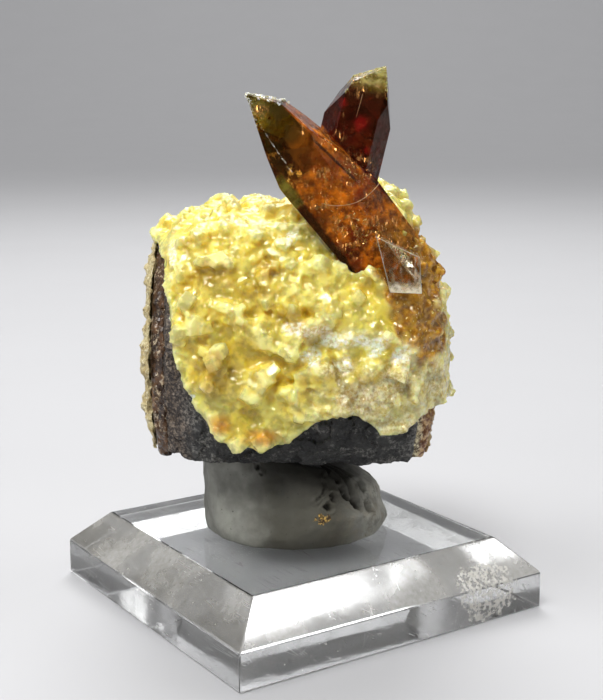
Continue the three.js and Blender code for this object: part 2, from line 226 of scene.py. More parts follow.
# %% Finishes
class Finish:
    """A material under construction."""

    def __init__(self, name):
        self.material = bpy.data.materials.new(name)
        self.material.use_nodes = True
        self.nodes = self.material.node_tree.nodes
        self.links = self.material.node_tree.links
        self.nodes.clear()
        self.output = self.nodes.new("ShaderNodeOutputMaterial")

    def add(self, kind, settings=None, inputs=None, out=0):
        """One output of a new node of any type; stops are a colour ramp's places and colours."""
        node = self.nodes.new(kind)
        for key, value in (settings or {}).items():
            if key == "stops":
                ramp = node.color_ramp.elements
                while len(ramp) < len(value):
                    ramp.new(1.0)
                for element, (place, color) in zip(ramp, value):
                    element.position = place
                    element.color = (*color, 1)
            else:
                setattr(node, key, value)
        for key, value in (inputs or {}).items():
            if isinstance(value, Value):
                self.links.new(value.socket, node.inputs[key])
            else:
                node.inputs[key].default_value = value
        return Value(self, node.outputs[out])

    def place(self, stretch=(1, 1, 1)):
        """Object coordinates in the specimen's directions, in millimetres."""
        where = self.add("ShaderNodeTexCoord", out="Object")
        where = self.turned(where, (0, 0, -SPECIMEN_TURN), (1 / MM,) * 3)
        return where if stretch == (1, 1, 1) else self.vector("MULTIPLY", where, stretch)

    def turned(self, place, rotation, scale):
        inputs = {"Vector": place, "Rotation": rotation, "Scale": scale}
        return self.add("ShaderNodeMapping", inputs=inputs)

    def vector(self, operation, a, b=(0, 0, 0), out=0):
        return self.add("ShaderNodeVectorMath", {"operation": operation}, {0: a, 1: b}, out)

    def along(self, place, way):
        """How far a place lies along a direction."""
        return self.vector("DOT_PRODUCT", place, way, out="Value")

    def length(self, place):
        return self.vector("LENGTH", place, out="Value")

    def away(self, place, middle, stretch):
        """How far a place lies from a middle, with each direction stretched."""
        return self.length(self.vector("MULTIPLY", self.vector("SUBTRACT", place, middle), stretch))

    def attribute(self, name):
        return self.add("ShaderNodeAttribute", {"attribute_name": name}, out="Fac")

    def noise(self, place, size, detail=3.0, roughness=0.55):
        """Soft noise from 0 to 1 with lumps of a size in millimetres."""
        inputs = {"Vector": place, "Scale": 1 / size, "Detail": detail, "Roughness": roughness}
        return self.add("ShaderNodeTexNoise", inputs=inputs)

    def cells(self, place, size, out="Color", feature="F1"):
        """Voronoi cells of a size in millimetres: their random colours, or the distance to their middles."""
        inputs = {"Vector": place, "Scale": 1 / size}
        return self.add("ShaderNodeTexVoronoi", {"feature": feature}, inputs, out)

    def chance(self, place, size):
        """One random number from 0 to 1 in each cell."""
        return self.add("ShaderNodeSeparateColor", inputs={"Color": self.cells(place, size)})

    def mix(self, share, a, b):
        """Colour a where share is 0 and colour b where it is 1."""
        a, b = [c if isinstance(c, Value) else (*c, 1) for c in (a, b)]
        return self.add("ShaderNodeMix", {"data_type": "RGBA"}, {0: share, 6: a, 7: b}, out=2)

    def bump(self, height, depth, normal=None):
        """A bump from a height of 0 to 1, in millimetres."""
        inputs = {"Height": height, "Distance": depth * MM}
        if normal is not None:
            inputs["Normal"] = normal
        return self.add("ShaderNodeBump", inputs=inputs)

    def facets(self, place, size, tilt):
        """A normal that leans at random in each small cell, as on a face made of many grains."""
        lean = self.vector("SUBTRACT", self.cells(place, size), (0.5, 0.5, 0.5))
        lean = self.vector("MULTIPLY", lean, (2 * tilt,) * 3)
        straight = self.add("ShaderNodeNewGeometry", out="Normal")
        return self.vector("NORMALIZE", self.vector("ADD", straight, lean))

    def surface(self, **inputs):
        """A Principled shader, its sockets named with underscores for spaces."""
        inputs = {name.replace("_", " "): value for name, value in inputs.items()}
        return self.add("ShaderNodeBsdfPrincipled", inputs=inputs)

    def blend(self, share, a, b):
        return self.add("ShaderNodeMixShader", inputs={0: share, 1: a, 2: b})

    def done(self, shader):
        self.links.new(shader.socket, self.output.inputs["Surface"])
        print("finish", self.material.name, "has", len(self.nodes), "nodes")
        return self.material


# %% [markdown]
# ## Helpers for pieces
#
# Every rough piece starts from its solid, so it keeps the solid's place and size. The relief could be a
# bump in the finish alone, but then its outline would stay straight. So a voxel remesh turns the few large
# faces into an even net fine enough to shape, and each point is moved by a function of its place. A remesh
# can leave loose specks beside thin corners, and a net of many hundred thousand faces is heavy, so two
# helpers take the specks off and merge the flattest places. A piece with flat faces is not remeshed: it
# only gets its edges rounded.

# %% A node's mesh
def node_bmesh(node):
    """The solid's mesh with its corners joined."""
    bm = bmesh.new()
    bm.from_mesh(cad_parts[node].data)
    bmesh.ops.remove_doubles(bm, verts=bm.verts, dist=0.002 * MM)
    return bm


def flat_faced(node, angle=1):
    """The solid's mesh with each of its flat sides one face again."""
    bm = node_bmesh(node)
    limit = math.radians(angle)
    bmesh.ops.dissolve_limit(bm, angle_limit=limit, verts=bm.verts, edges=bm.edges)
    return bm


def rounded(bm, radius, angle, material=-1):
    """A small round, in millimetres, on every edge that turns by more than an angle."""
    edges = [e for e in bm.edges if len(e.link_faces) == 2 and e.calc_face_angle() > math.radians(angle)]
    bmesh.ops.bevel(
        bm, geom=edges, offset=radius * MM, offset_type="OFFSET", segments=2,
        profile=0.5, affect="EDGES", material=material, clamp_overlap=True,
    )
    return bm


# %% Remeshed, thinned and shaped
def modified(bm, kind, settings):
    """What one modifier makes of a bmesh."""
    mesh = bpy.data.meshes.new("rough")
    bm.to_mesh(mesh)
    bm.free()
    carrier = bpy.data.objects.new("rough", mesh)
    bpy.context.collection.objects.link(carrier)
    modifier = carrier.modifiers.new(kind, kind)
    for key, value in settings.items():
        setattr(modifier, key, value)
    evaluated = carrier.evaluated_get(bpy.context.evaluated_depsgraph_get())
    result = bmesh.new()
    result.from_mesh(evaluated.to_mesh())
    bpy.data.objects.remove(carrier)
    bpy.data.meshes.remove(mesh)
    return result


def remeshed(bm, voxel):
    """The union of everything in bm as one even closed mesh; voxel is in millimetres."""
    return modified(bm, "REMESH", {"mode": "VOXEL", "voxel_size": voxel * MM})


def thinned(bm, most):
    """The same with its flattest places merged, down to a number of triangles."""
    triangles = sum(len(f.verts) - 2 for f in bm.faces)
    return modified(bm, "DECIMATE", {"ratio": min(1.0, most / triangles)})


def without_crumbs(bm, least=20):
    """The mesh without the loose specks that a remesh leaves beside thin corners."""
    left = set(bm.verts)
    crumbs = []
    while left:
        island = [left.pop()]
        for v in island:
            joined_to = [e.other_vert(v) for e in v.link_edges]
            fresh = [other for other in joined_to if other in left]
            left.difference_update(fresh)
            island += fresh
        if len(island) < least:
            crumbs += island
    print("loose points taken off:", len(crumbs))
    bmesh.ops.delete(bm, geom=crumbs, context="VERTS")
    return bm


def shaped(bm, move):
    """Each point moved by a function of its place and its way out, both in the specimen's directions."""
    turn = Matrix.Rotation(-SPECIMEN_TURN, 3, "Z")
    bm.normal_update()
    outward = [turn @ v.normal for v in bm.verts]
    for v, out in zip(bm.verts, outward):
        p = to_specimen @ v.co
        v.co = to_frame @ (p + move(p, out))
    return bm


def soften(bm, rounds, share=0.5):
    """Smooths the mesh; each round draws every point towards the middle of its neighbours."""
    for _ in range(rounds):
        bmesh.ops.smooth_vert(
            bm, verts=bm.verts, factor=share, use_axis_x=True, use_axis_y=True, use_axis_z=True,
        )


# %% A finished piece
def piece(name, bm, material, stands_for=(), smooth=False):
    """The finished piece: it rides on the one body and may stand for solids of the frame."""
    mesh = bpy.data.meshes.new(name)
    bm.normal_update()
    bm.to_mesh(mesh)
    bm.free()
    for polygon in mesh.polygons:
        polygon.use_smooth = smooth
    mesh.materials.append(material)
    made = bpy.data.objects.new(name, mesh)
    bpy.context.collection.objects.link(made)
    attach(made, "root")
    if stands_for:
        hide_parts(*stands_for)
    triangles = sum(len(p.vertices) - 2 for p in mesh.polygons)
    size = [round(v / MM, 1) for v in made.dimensions]
    print(f"{name}: {triangles} triangles, {size} mm")
    return made


# %% Distances to the solids
def tree_of(*nodes):
    """A search tree of the surfaces of one or more solids, in the specimen's directions."""
    bm = bmesh.new()
    for node in nodes:
        bm.from_mesh(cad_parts[node].data)
    bm.transform(to_specimen)
    tree = BVHTree.FromBMesh(bm)
    bm.free()
    return tree


def clamp(share):
    return max(0.0, min(1.0, share))


def gap(tree, p):
    """The distance in millimetres from a place to the nearest surface in a tree."""
    return tree.find_nearest(p)[3]


IN_FRONT = -40  # millimetres, well before anything of the specimen


def from_front(tree, x, z):
    """The place and outward direction where a line from the front at x and z meets a solid."""
    hit, out, *_ = tree.ray_cast(Vector((x, IN_FRONT, z)), Vector((0, 1, 0)))
    return hit, out


rock_tree = tree_of("matrix_rock")
vein_tree = tree_of("brown_calcite_vein")
rind_tree = tree_of("tan_rind")
stone_tree = tree_of("matrix_rock", "brown_calcite_vein", "tan_rind")
barite_tree = tree_of("barite_crystals")
tablet_tree = tree_of("clear_barite_crystal")
druse_tree = tree_of("yellow_calcite_druse")


def in_the_open(p, *trees):
    """0 within 0.1 mm of one of some solids, rising to 1 at 0.6 mm from all of them."""
    return clamp((min(gap(tree, p) for tree in trees) - 0.1) / 0.5)


print("distances to 6 solids ready")

# %% Repeatable roughness
noise.seed_set(3)  # noise_vector takes its offsets from this seed, and from the clock without it
CELL_SHIFT = Vector((3.7, 9.1, 5.3))  # with the scale, it gives each chip a random number of its own
CELL_SCALE = 7.31


def chipped(p, size, tilt, step):
    """The height of a surface broken into tilted chips: each cell is a plane of its own."""
    middle = noise.voronoi(p / size)[1][0] * size
    lean = noise.cell_vector(middle * CELL_SCALE + CELL_SHIFT) - Vector((0.5, 0.5, 0.5))
    return tilt * lean.dot(p - middle) + step * lean.x


# %% [markdown]
# ## The clear stand
#
# The stand is a square of clear acrylic with a wide chamfer, cut with a saw and polished by hand. Its solid
# has the true form, but a real edge is never perfectly sharp: a small round on each edge is what catches
# the light. It could be made anew from a cube and a bevel, but rounding the solid's own edges can't shift
# its faces. Most of the finish is in the wear: fine scratches, dust, a haze on the sawn slopes, and a patch
# of old glue. Each slope has the second finish of the two, which is the same one with more haze.

# %% Acrylic with scratches and old glue
GLUE_PLACE = Vector((9.6, -15.6, 2.9))  # in the frame's directions, on the right front chamfer


def scratched_acrylic(name, haze, roughness):
    """Clear acrylic; haze is the share of light that a sawn face scatters."""
    f = Finish(name)
    p = f.vector("MULTIPLY", f.add("ShaderNodeTexCoord", out="Object"), (1 / MM,) * 3)
    scratches = 0.0
    for turn, size in [(0.3, 2.3), (1.25, 3.1), (2.1, 2.7), (2.8, 3.7)]:
        long_cells = f.turned(p, (0.4, 0.2, turn), (1, 0.07, 1))
        line = 0.010 - f.cells(long_cells, size, "Distance", "DISTANCE_TO_EDGE")
        scratches = scratches + line.over(0.0, 0.008) * f.noise(p, 3.0, detail=4.0).over(0.52, 0.66)
    worn = f.noise(p, 5.0, detail=3.0).over(0.42, 0.62)
    sawn = f.noise(f.turned(p, (0.5, 0.4, 0.7), (1.3, 1.3, 0.3)), 1.2, detail=2.0)
    dusty = f.noise(p, 6.0, detail=2.0).over(0.45, 0.65) * 0.02
    dust = (f.chance(p, 0.45) + dusty).over(0.985, 0.99)
    dust = dust * f.cells(p, 0.45, "Distance").math("LESS_THAN", 0.25)
    normal = f.bump(scratches * 0.1 + sawn * 0.25 * worn, 0.015)
    clear = f.surface(
        Base_Color=(0.97, 0.98, 0.98, 1), Roughness=roughness + scratches * 0.10 + worn * 0.04,
        IOR=1.49, Transmission_Weight=1.0, Normal=normal,
    )
    reach = f.away(p, GLUE_PLACE, (0.26, 0.42, 0.30)) + f.noise(p, 0.8, detail=4.0) * 0.9
    crumbs = f.noise(p, 0.35, detail=4.0)
    glue = (1.35 - reach).over(0.0, 0.15) * crumbs.over(0.42, 0.55)
    white = f.surface(
        Base_Color=f.mix(f.noise(p, 0.5), (0.42, 0.39, 0.32), (0.93, 0.92, 0.88)),
        Roughness=0.6, Normal=f.bump(crumbs, 0.15),
    )
    marks = (scratches * 0.30 + dust * 0.6).math("MINIMUM", 0.6)
    film = worn * (0.5 * haze) + 0.75 * haze
    return f.done(f.blend((glue * 0.8).most(marks).most(film), clear, white))


# %% The stand itself
STAND_ROUND = 0.14


def stand():
    """The stand with rounded edges; its four sloping faces take the second finish."""
    bm = flat_faced("acrylic_base", angle=2)
    for face in bm.faces:
        face.material_index = int(0.2 < face.normal.z < 0.95)
    return rounded(bm, STAND_ROUND, angle=20)


polished = scratched_acrylic("clear_acrylic", 0.0, 0.03)
base = piece("stand", stand(), polished, ["acrylic_base"])
base.data.materials.append(scratched_acrylic("sawn_acrylic", 0.30, 0.18))

# %% [markdown]
# ## The putty
#
# A lump of mounting putty, pressed by hand: smooth and matt where fingers pushed it, folded on its right,
# with dark specks that it picked up. The folds are cut as grooves along short paths over its side, and each
# path is given as an angle round the lump and a height. Folds could be sculpted by hand, but paths of a few
# points can be read and changed. The middle of its face, its top under the stone and its folds are painted
# darker, as painted shade.

# %% Putty with folds
PUTTY_AXIS = Vector((-0.8, 0.1, 0))
PUTTY_RADIUS = 8.3
FOLDS = [  # width, depth, then angle from the front in degrees and height in millimetres
    (0.24, 1.0, [(33, 15.4), (36, 13.8), (40, 12.3), (44, 10.6), (50, 9.6)]),
    (0.30, 0.5, [(40, 15.2), (45, 13.8), (51, 12.4), (49, 10.6)]),
    (0.26, 0.5, [(52, 14.6), (60, 13.0), (64, 11.2), (58, 9.2)]),
    (0.12, 0.4, [(30, 13.4), (27.5, 12.4), (26, 11.6), (21, 10.9)]),
    (0.20, 0.8, [(31, 11.1), (32, 10.9)]),
    (0.20, 0.7, [(26, 10.3), (28, 10.2)]),
    (0.12, 0.5, [(-22, 13.6), (-20, 13.1)]),
]


def from_line(point, start, end):
    """The distance from a flat point to a stretch of line."""
    along = end - start
    share = clamp((point - start).dot(along) / along.length_squared)
    return (start + share * along - point).length


def fold_depth(p):
    """How deep the folds are at a place, in millimetres, and how high the lips beside them."""
    side = p - PUTTY_AXIS
    angle = math.atan2(side.x, -side.y)
    flat = Vector((angle * PUTTY_RADIUS, p.z))
    depth = lip = 0.0
    for width, deep, path in FOLDS:
        points = [Vector((math.radians(a) * PUTTY_RADIUS, z)) for a, z in path]
        near = min(from_line(flat, a, b) for a, b in zip(points, points[1:]))
        near += 0.40 * noise.noise(p / 0.9) + 0.18 * noise.noise(p / 0.35)
        depth = max(depth, deep * math.exp(-((near / width) ** 2)))
        lip = max(lip, 0.18 * math.exp(-(((near - 2.2 * width) / width) ** 2)))
    return depth, lip


def pressed(p, out):
    """Dents, folds and a fine skin of the putty."""
    depth, lip = fold_depth(p)
    skin = 0.10 * noise.noise(p / 2.2) + 0.05 * noise.noise(p / 0.8)
    wall = max(0.0, 1 - abs(out.z) ** 4)
    return out * (skin + lip - depth) * wall


# %% The putty's finish
CHIP_PLACE = Vector((2.3, -8.2, 9.3))  # a golden chip stuck in the putty


def putty_finish():
    f = Finish("putty")
    p = f.place()
    side = f.along(p, TO_THE_RIGHT)
    level = f.along(p, UP)
    tone = f.noise(p, 2.5, detail=4.0).over(0.3, 0.7)
    color = f.mix(tone, (0.22, 0.22, 0.19), (0.38, 0.38, 0.33))
    # painted shade: the middle of the lump, under the overhanging stone, is darkened towards a dark olive
    painted_shade_band = (side + f.noise(p, 2.0) * 3.0).over(-4.0, 0.0) * (6.5 - side).over(0.0, 3.0)
    color = f.mix(painted_shade_band * 0.9, color, (0.070, 0.065, 0.046))
    crumbly = side.over(5.4, 6.6) * f.noise(p, 0.9, detail=5.0, roughness=0.7).over(0.42, 0.58)
    color = f.mix(crumbly * 0.85, color, (0.50, 0.49, 0.42))
    specks = f.noise(p, 0.3, detail=3.0).over(0.69, 0.72)
    color = f.mix(specks * 0.8, color, (0.05, 0.045, 0.03))
    dirt = side.over(1.0, 6.0) * (13.0 - level).over(0.0, 5.0) * f.noise(p, 1.2, detail=5.0).over(0.35, 0.7)
    color = f.mix(dirt * 0.5, color, (0.22, 0.18, 0.115))
    middle = (5.5 - abs(side - 0.4) + f.noise(p, 2.0) * 2.0).over(0.0, 4.5)
    shade = (level + f.noise(p, 1.5) * 2.0).over(10.5, 15.0) * (0.25 + 0.7 * middle)
    color = f.mix(shade, color, (0.025, 0.023, 0.018))
    # painted shade: the folds are darkened by their depth, which the mesh keeps as the pressed attribute
    color = f.mix(f.attribute("pressed").over(0.15, 0.7) * 0.85, color, (0.035, 0.03, 0.022))
    skin = f.noise(p, 0.5, detail=5.0, roughness=0.65) * (0.6 + 2.0 * side.over(2.5, 5.0))
    chip = (1.05 - f.away(p, CHIP_PLACE, (0.75, 0.3, 0.95)) - f.noise(p, 0.5, detail=3.0)).over(0.0, 0.1)
    gold = f.mix(f.chance(p, 0.14).over(0.35, 0.9), (0.045, 0.022, 0.006), (0.66, 0.42, 0.10))
    color = f.mix(chip, color, gold)
    return f.done(f.surface(
        Base_Color=color, Roughness=0.72 - tone * 0.12 - chip * 0.3, Normal=f.bump(skin, 0.07),
    ))


# %% The putty itself
putty = remeshed(node_bmesh("mounting_putty"), 0.16)
folds = putty.verts.layers.float.new("pressed")
for v in putty.verts:
    v[folds] = fold_depth(to_specimen @ v.co)[0]
putty = shaped(putty, pressed)
piece("putty", putty, putty_finish(), ["mounting_putty"], smooth=True)

# %% [markdown]
# ## Mudstone
#
# Broken mudstone is a patchwork of small tilted planes with a fine silvery glint. The chips are made in the
# mesh: each cell of a Voronoi pattern becomes a plane of its own. The glint is a normal that leans at
# random in each grain. Chips are cut into the solid, so the stone stays inside it, and beside the vein it
# swells a little, so that no gap shows between them.

# %% The dark matrix
def mudstone():
    f = Finish("mudstone")
    p = f.place()
    side = f.along(p, TO_THE_RIGHT)
    cloud = f.noise(p, 1.6, detail=6.0).over(0.3, 0.75)
    color = f.mix(cloud, (0.005, 0.005, 0.005), (0.034, 0.034, 0.032))
    left = (side * -1.0).over(2.0, 9.5)
    silver = f.noise(p, 1.4, detail=6.0, roughness=0.7) + left * 0.10 + side.over(5.0, 9.0) * 0.07
    silver = silver.over(0.52, 0.62)
    grit = f.noise(p, 0.32, detail=6.0, roughness=0.8).over(0.46, 0.60)
    color = f.mix(silver * grit * 0.62, color, (0.30, 0.29, 0.26))
    brown = (side * -1.0 + f.noise(p, 1.2, detail=4.0) * 2.0).over(9.6, 11.2)
    color = f.mix(brown * 0.7, color, f.mix(grit, (0.025, 0.015, 0.012), (0.22, 0.16, 0.11)))
    normal = f.bump(f.noise(p, 0.3, detail=5.0), 0.14, f.facets(p, 0.2, 0.35))
    return f.done(f.surface(Base_Color=color, Roughness=0.55 - silver * grit * 0.2, Normal=normal))


# %% Chips on the mudstone
def hackly(p, out):
    """Chips on broken stone, cut into the solid; the stone swells a little to meet the vein."""
    relief = 0.30 * chipped(p, 1.7, 1.0, 1.0) + 0.16 * chipped(p, 0.6, 1.0, 0.6) + 0.08 * noise.noise(p / 0.5)
    meeting = max(0.0, 1 - gap(vein_tree, p) / 0.5) * min(1.0, gap(druse_tree, p) / 0.8)
    return out * (min(-0.02, relief - 0.12) + 0.22 * meeting)


matrix = shaped(remeshed(node_bmesh("matrix_rock"), 0.2), hackly)
piece("mudstone_matrix", matrix, mudstone(), ["matrix_rock"])

# %% [markdown]
# ## The vein and the rind
#
# Outside the mudstone runs a band of dark brown calcite, all small glassy cleavage faces. Outside that is a
# thin cream rind that grew as knobs. Both get their relief in the mesh: tilted cells again for the vein,
# and round ones for the rind. Relief would push a layer through its neighbour, so it fades to nothing where
# they meet.

# %% Brown calcite
def brown_calcite():
    f = Finish("brown_calcite")
    p = f.place()
    patch = f.noise(p, 1.1, detail=4.0).over(0.3, 0.75)
    color = f.mix(patch, (0.018, 0.010, 0.007), (0.15, 0.075, 0.034))
    # pale cream specks, partly the vein's own grains and partly painted glints
    grit = f.noise(p, 0.45, detail=5.0, roughness=0.7).over(0.52, 0.62) * f.noise(p, 1.4).over(0.40, 0.60)
    color = f.mix(grit * 0.9, color, (0.62, 0.50, 0.34))
    side = f.along(p, TO_THE_RIGHT)
    brown = (side + f.noise(p, 0.8, detail=4.0) * 1.2).over(10.9, 11.6)
    sugar = f.noise(p, 0.4, detail=5.0, roughness=0.7).over(0.42, 0.58)
    golden = f.mix(sugar, f.mix(brown, (0.10, 0.06, 0.025), (0.20, 0.065, 0.012)), (0.90, 0.80, 0.50))
    golden = f.mix(brown * 0.75, golden, f.mix(sugar, (0.14, 0.04, 0.008), (0.50, 0.24, 0.06)))
    color = f.mix(side.over(8.0, 10.0) * 0.95, color, golden)
    normal = f.bump(f.noise(p, 0.25, detail=3.0), 0.05, f.facets(p, 0.34, 0.5))
    return f.done(f.surface(Base_Color=color, Roughness=0.22, Normal=normal))


# %% Cleavage faces on the vein
def cleaved(p, out):
    """Cleavage faces, proud of the stone but flat under the rind and the crust."""
    free = min(1.0, gap(rock_tree, p) / 0.7)
    chips = 0.28 * chipped(p, 0.9, 1.0, 0.8) + 0.12 * chipped(p, 0.4, 1.0, 0.6)
    return out * in_the_open(p, druse_tree, rind_tree) * (0.22 + free * chips)


vein = shaped(without_crumbs(remeshed(node_bmesh("brown_calcite_vein"), 0.22)), cleaved)
piece("brown_vein", vein, brown_calcite(), ["brown_calcite_vein"])

# %% Tan rind
def tan_calcite():
    f = Finish("tan_calcite")
    p = f.place()
    patch = f.noise(p, 1.3, detail=5.0).over(0.25, 0.75)
    color = f.mix(patch, (0.40, 0.29, 0.11), (0.70, 0.61, 0.34))
    crumb = f.noise(p, 0.28, detail=5.0, roughness=0.7)
    color = f.mix(crumb.over(0.54, 0.68), color, (0.92, 0.88, 0.66))
    # painted shade: darker where the grain bump is low, in the hollows between the grains
    color = f.mix((1.0 - crumb).over(0.53, 0.66) * 0.85, color, (0.16, 0.10, 0.04))
    rust = f.along(p, (1, -0.5, 0)) + f.noise(p, 1.5, detail=4.0) * 3.0
    color = f.mix(rust.over(14.0, 17.0) * (1.0 - crumb.over(0.50, 0.62) * 0.6), color, (0.30, 0.12, 0.022))
    normal = f.bump(crumb, 0.16, f.facets(p, 0.25, 0.25))
    return f.done(f.surface(Base_Color=color, Roughness=0.45, Normal=normal))


# %% Knobs on the rind
def knobbly(p, out):
    """Round knobs that touch each other, with small grains on them; none under the crust."""
    knobs = 0.5 - noise.voronoi(p / 1.1)[0][0]
    grains = 0.5 - noise.voronoi(p / 0.4)[0][0]
    swell = 0.2 * noise.noise(p / 2.5)
    return out * in_the_open(p, druse_tree) * (0.70 * knobs + 0.25 * grains + swell - 0.08)


rind = shaped(without_crumbs(remeshed(node_bmesh("tan_rind"), 0.2)), knobbly)
piece("rind", rind, tan_calcite(), ["tan_rind"])

# %% [markdown]
# ## The yellow calcite
#
# Calcite grows as rhombohedra that share a direction in patches, so a patch turns one set of faces to the
# light and glints as a whole. Thousands of small crystals are placed on the solid's surface, each turned
# like the nearest patch. They could stay separate shapes, but light has to scatter through them as through
# one body. So the crust and its crystals are made one closed mesh by a voxel remesh, which is then thinned.

# %% One rhombohedron, and many joined
def cube():
    bm = bmesh.new()
    bmesh.ops.create_cube(bm, size=1.0)
    return bm


def rhombohedron(stretch=0.9):
    """A cube with edges of 1, stood on a corner and pressed along its upright diagonal."""
    bm = cube()
    upright = Vector((1, 1, 1)).rotation_difference(Vector((0, 0, 1))).to_matrix()
    bmesh.ops.rotate(bm, verts=bm.verts, cent=(0, 0, 0), matrix=upright)
    bmesh.ops.scale(bm, verts=bm.verts, vec=(1, 1, stretch))
    return bm


def joined(shape, placements):
    """Copies of a small shape in one bmesh; each placement is a 4 by 4 matrix into the frame."""
    shape.verts.index_update()
    corners = np.array([(*v.co, 1.0) for v in shape.verts])
    faces = np.array([[v.index for v in f.verts] for f in shape.faces])
    moved = np.einsum("nij,vj->nvi", np.array(placements), corners)[..., :3].reshape(-1, 3)
    shifts = np.arange(len(placements))[:, None, None] * len(corners)
    mesh = bpy.data.meshes.new("joined")
    mesh.from_pydata(moved.tolist(), [], (faces[None] + shifts).reshape(-1, faces.shape[1]).tolist())
    bm = bmesh.new()
    bm.from_mesh(mesh)
    bpy.data.meshes.remove(mesh)
    shape.free()
    return bm


def merge(target, extra):
    """extra's mesh added to target's."""
    mesh = bpy.data.meshes.new("extra")
    extra.to_mesh(mesh)
    extra.free()
    target.from_mesh(mesh)
    bpy.data.meshes.remove(mesh)
    return target


def placed(p, axis, spin, size):
    """The matrix that puts a small shape at p in the specimen, its own z along an axis."""
    turn = Vector((0, 0, 1)).rotation_difference(axis).to_matrix().to_4x4()
    local = Matrix.Translation(p) @ turn @ Matrix.Rotation(spin, 4, "Z") @ Matrix.Diagonal((*size, 1))
    return to_frame @ local


# %% Places on the surface of a solid
def surface_places(bm, count, rng):
    """Random places spread evenly over a mesh, as (place, way out) in the specimen's directions."""
    bm = bm.copy()
    bmesh.ops.triangulate(bm, faces=bm.faces)
    bm.normal_update()
    turn = Matrix.Rotation(-SPECIMEN_TURN, 3, "Z")
    corners = np.array([[to_specimen @ v.co for v in f.verts] for f in bm.faces])
    normals = np.array([turn @ f.normal for f in bm.faces])
    bm.free()
    areas = np.linalg.norm(np.cross(corners[:, 1] - corners[:, 0], corners[:, 2] - corners[:, 0]), axis=1)
    chosen = rng.choice(len(areas), size=count, p=areas / areas.sum())
    share = np.sort(rng.random((count, 2)), axis=1)
    weights = np.stack([share[:, 0], share[:, 1] - share[:, 0], 1 - share[:, 1]], axis=1)
    places = np.einsum("nk,nkj->nj", weights, corners[chosen])
    return [(Vector(p), Vector(n)) for p, n in zip(places, normals[chosen])]


# %% [markdown]
# The crust is not the same all over. In some places it is a fine sugar, and in others golden, orange,
# frosted white or dusty, or the stone lies bare. The golden spots are hollows, and their deeper colour is
# partly the calcite's own and partly painted shade. A pattern could scatter such places, but here each has
# a place of its own, so each is a short list of soft spots on the crust's face.

# %% The crust's zones
# Unless a list says otherwise, a spot is the x and z of its middle, then its width and height in millimetres.
SUGARY = [
    ((11.5, 23.5), 3.2, 8.5), ((5.6, 20.4), 4.5, 2.6), ((4.2, 25.8), 4.6, 0.9), ((-3.2, 37.6), 3.6, 1.6),
]
AMBER = [
    ((9.4, 31.6), 2.7, 2.6), ((9.8, 28.8), 2.3, 2.2), ((11.2, 26.0), 1.5, 2.4), ((10.0, 27.2), 1.6, 1.6),
]
# the golden spots are hollows; their deeper colour is partly the calcite's own and partly painted shade
SHADED_GOLDEN = [
    ((-7.3, 30.7), 1.9, 1.0), ((-6.9, 22.8), 1.9, 1.5), ((-0.6, 27.6), 1.4, 0.8), ((1.2, 26.4), 1.4, 0.6),
    ((-3.4, 29.6), 1.2, 0.7), ((5.4, 21.4), 1.6, 1.2), ((-2.2, 31.4), 1.0, 1.0), ((0.5, 36.6), 1.8, 0.9),
]
BARE = [  # x and z of a bare patch of stone, and its reach
    ((-5.8, 20.8), 0.9), ((-6.8, 20.8), 0.6), ((11.3, 22.5), 0.8), ((-5.0, 21.3), 0.8), ((4.5, 21.9), 0.6),
    ((1.9, 21.1), 0.7),
]
ORANGE = [((-6.4, 18.6), 0.8, 0.7), ((-2.8, 17.5), 1.4, 0.5)]
FROSTED = [
    ((0.6, 26.5), 1.7, 0.55), ((3.6, 25.6), 1.6, 0.7), ((6.6, 25.2), 1.2, 0.6), ((1.2, 24.4), 0.9, 0.6),
    ((4.2, 23.9), 0.6, 0.8), ((-10.6, 32.2), 0.4, 1.0), ((8.8, 24.6), 0.9, 0.6), ((-0.4, 33.8), 0.5, 0.5),
]
DUSTY = [
    ((5.6, 20.8), 2.6, 1.2), ((8.4, 22.5), 1.6, 1.6), ((3.6, 23.4), 1.6, 0.8), ((11.6, 21.6), 1.0, 2.4),
    ((8.2, 18.8), 2.6, 1.0),
]
MIRRORS = [  # x and z of the brightest faces
    (0.7, 31.0), (1.9, 33.1), (-0.5, 31.8), (-0.1, 35.7), (-9.6, 37.7), (-3.9, 38.9), (1.1, 24.5),
    (4.0, 24.0), (-8.9, 36.8), (2.6, 30.4), (-3.0, 38.3), (-1.6, 33.0), (2.4, 28.6), (-7.8, 34.0),
    (-2.0, 22.6), (3.4, 27.6),
]


def in_spots(p, spots, wobble=0.5):
    """How far a place is inside any of a list of soft spots, from 0 to 1."""
    shift = wobble * noise.noise(p / 1.1)
    reach = [math.hypot((p.x - x) / width, (p.z - z) / height) for (x, z), width, height in spots]
    return clamp(1.5 - min(reach) + shift)


# %% The crust's coarse form
def sunk(p, out):
    """The crust between the crystals: hollow at the golden spots, clear of the stone, ragged at its rim."""
    depth = gap(stone_tree, p)
    hollow = 0.15 + 0.55 * in_spots(p, SHADED_GOLDEN, wobble=0.2)
    ragged = noise.noise_vector(p / 0.7) * 0.45 * max(0.0, 1 - depth / 0.6)
    return ragged + out * (0.30 * noise.noise(p / 2.0) * min(1.0, depth) - min(hollow, max(0.0, depth - 0.8)))


lumps = shaped(remeshed(node_bmesh("yellow_calcite_druse"), 0.22), sunk)
print("coarse crust points:", len(lumps.verts))

# %% Places along the long crystals
LONG_TIP = Vector((-3.3, -7.8, 46.3))
LONG_FOOT = Vector((9.9, -5.3, 28.7))
SECOND_TIP = Vector((6.2, -4.7, 48.2))
SECOND_FOOT = Vector((3.4, -4.4, 36.2))


def directions(tip, foot):
    """Down the crystal from its tip, and across it to the right."""
    down = (foot - tip).normalized()
    across = Vector((-down.z, 0, down.x)).normalized()
    return down, across


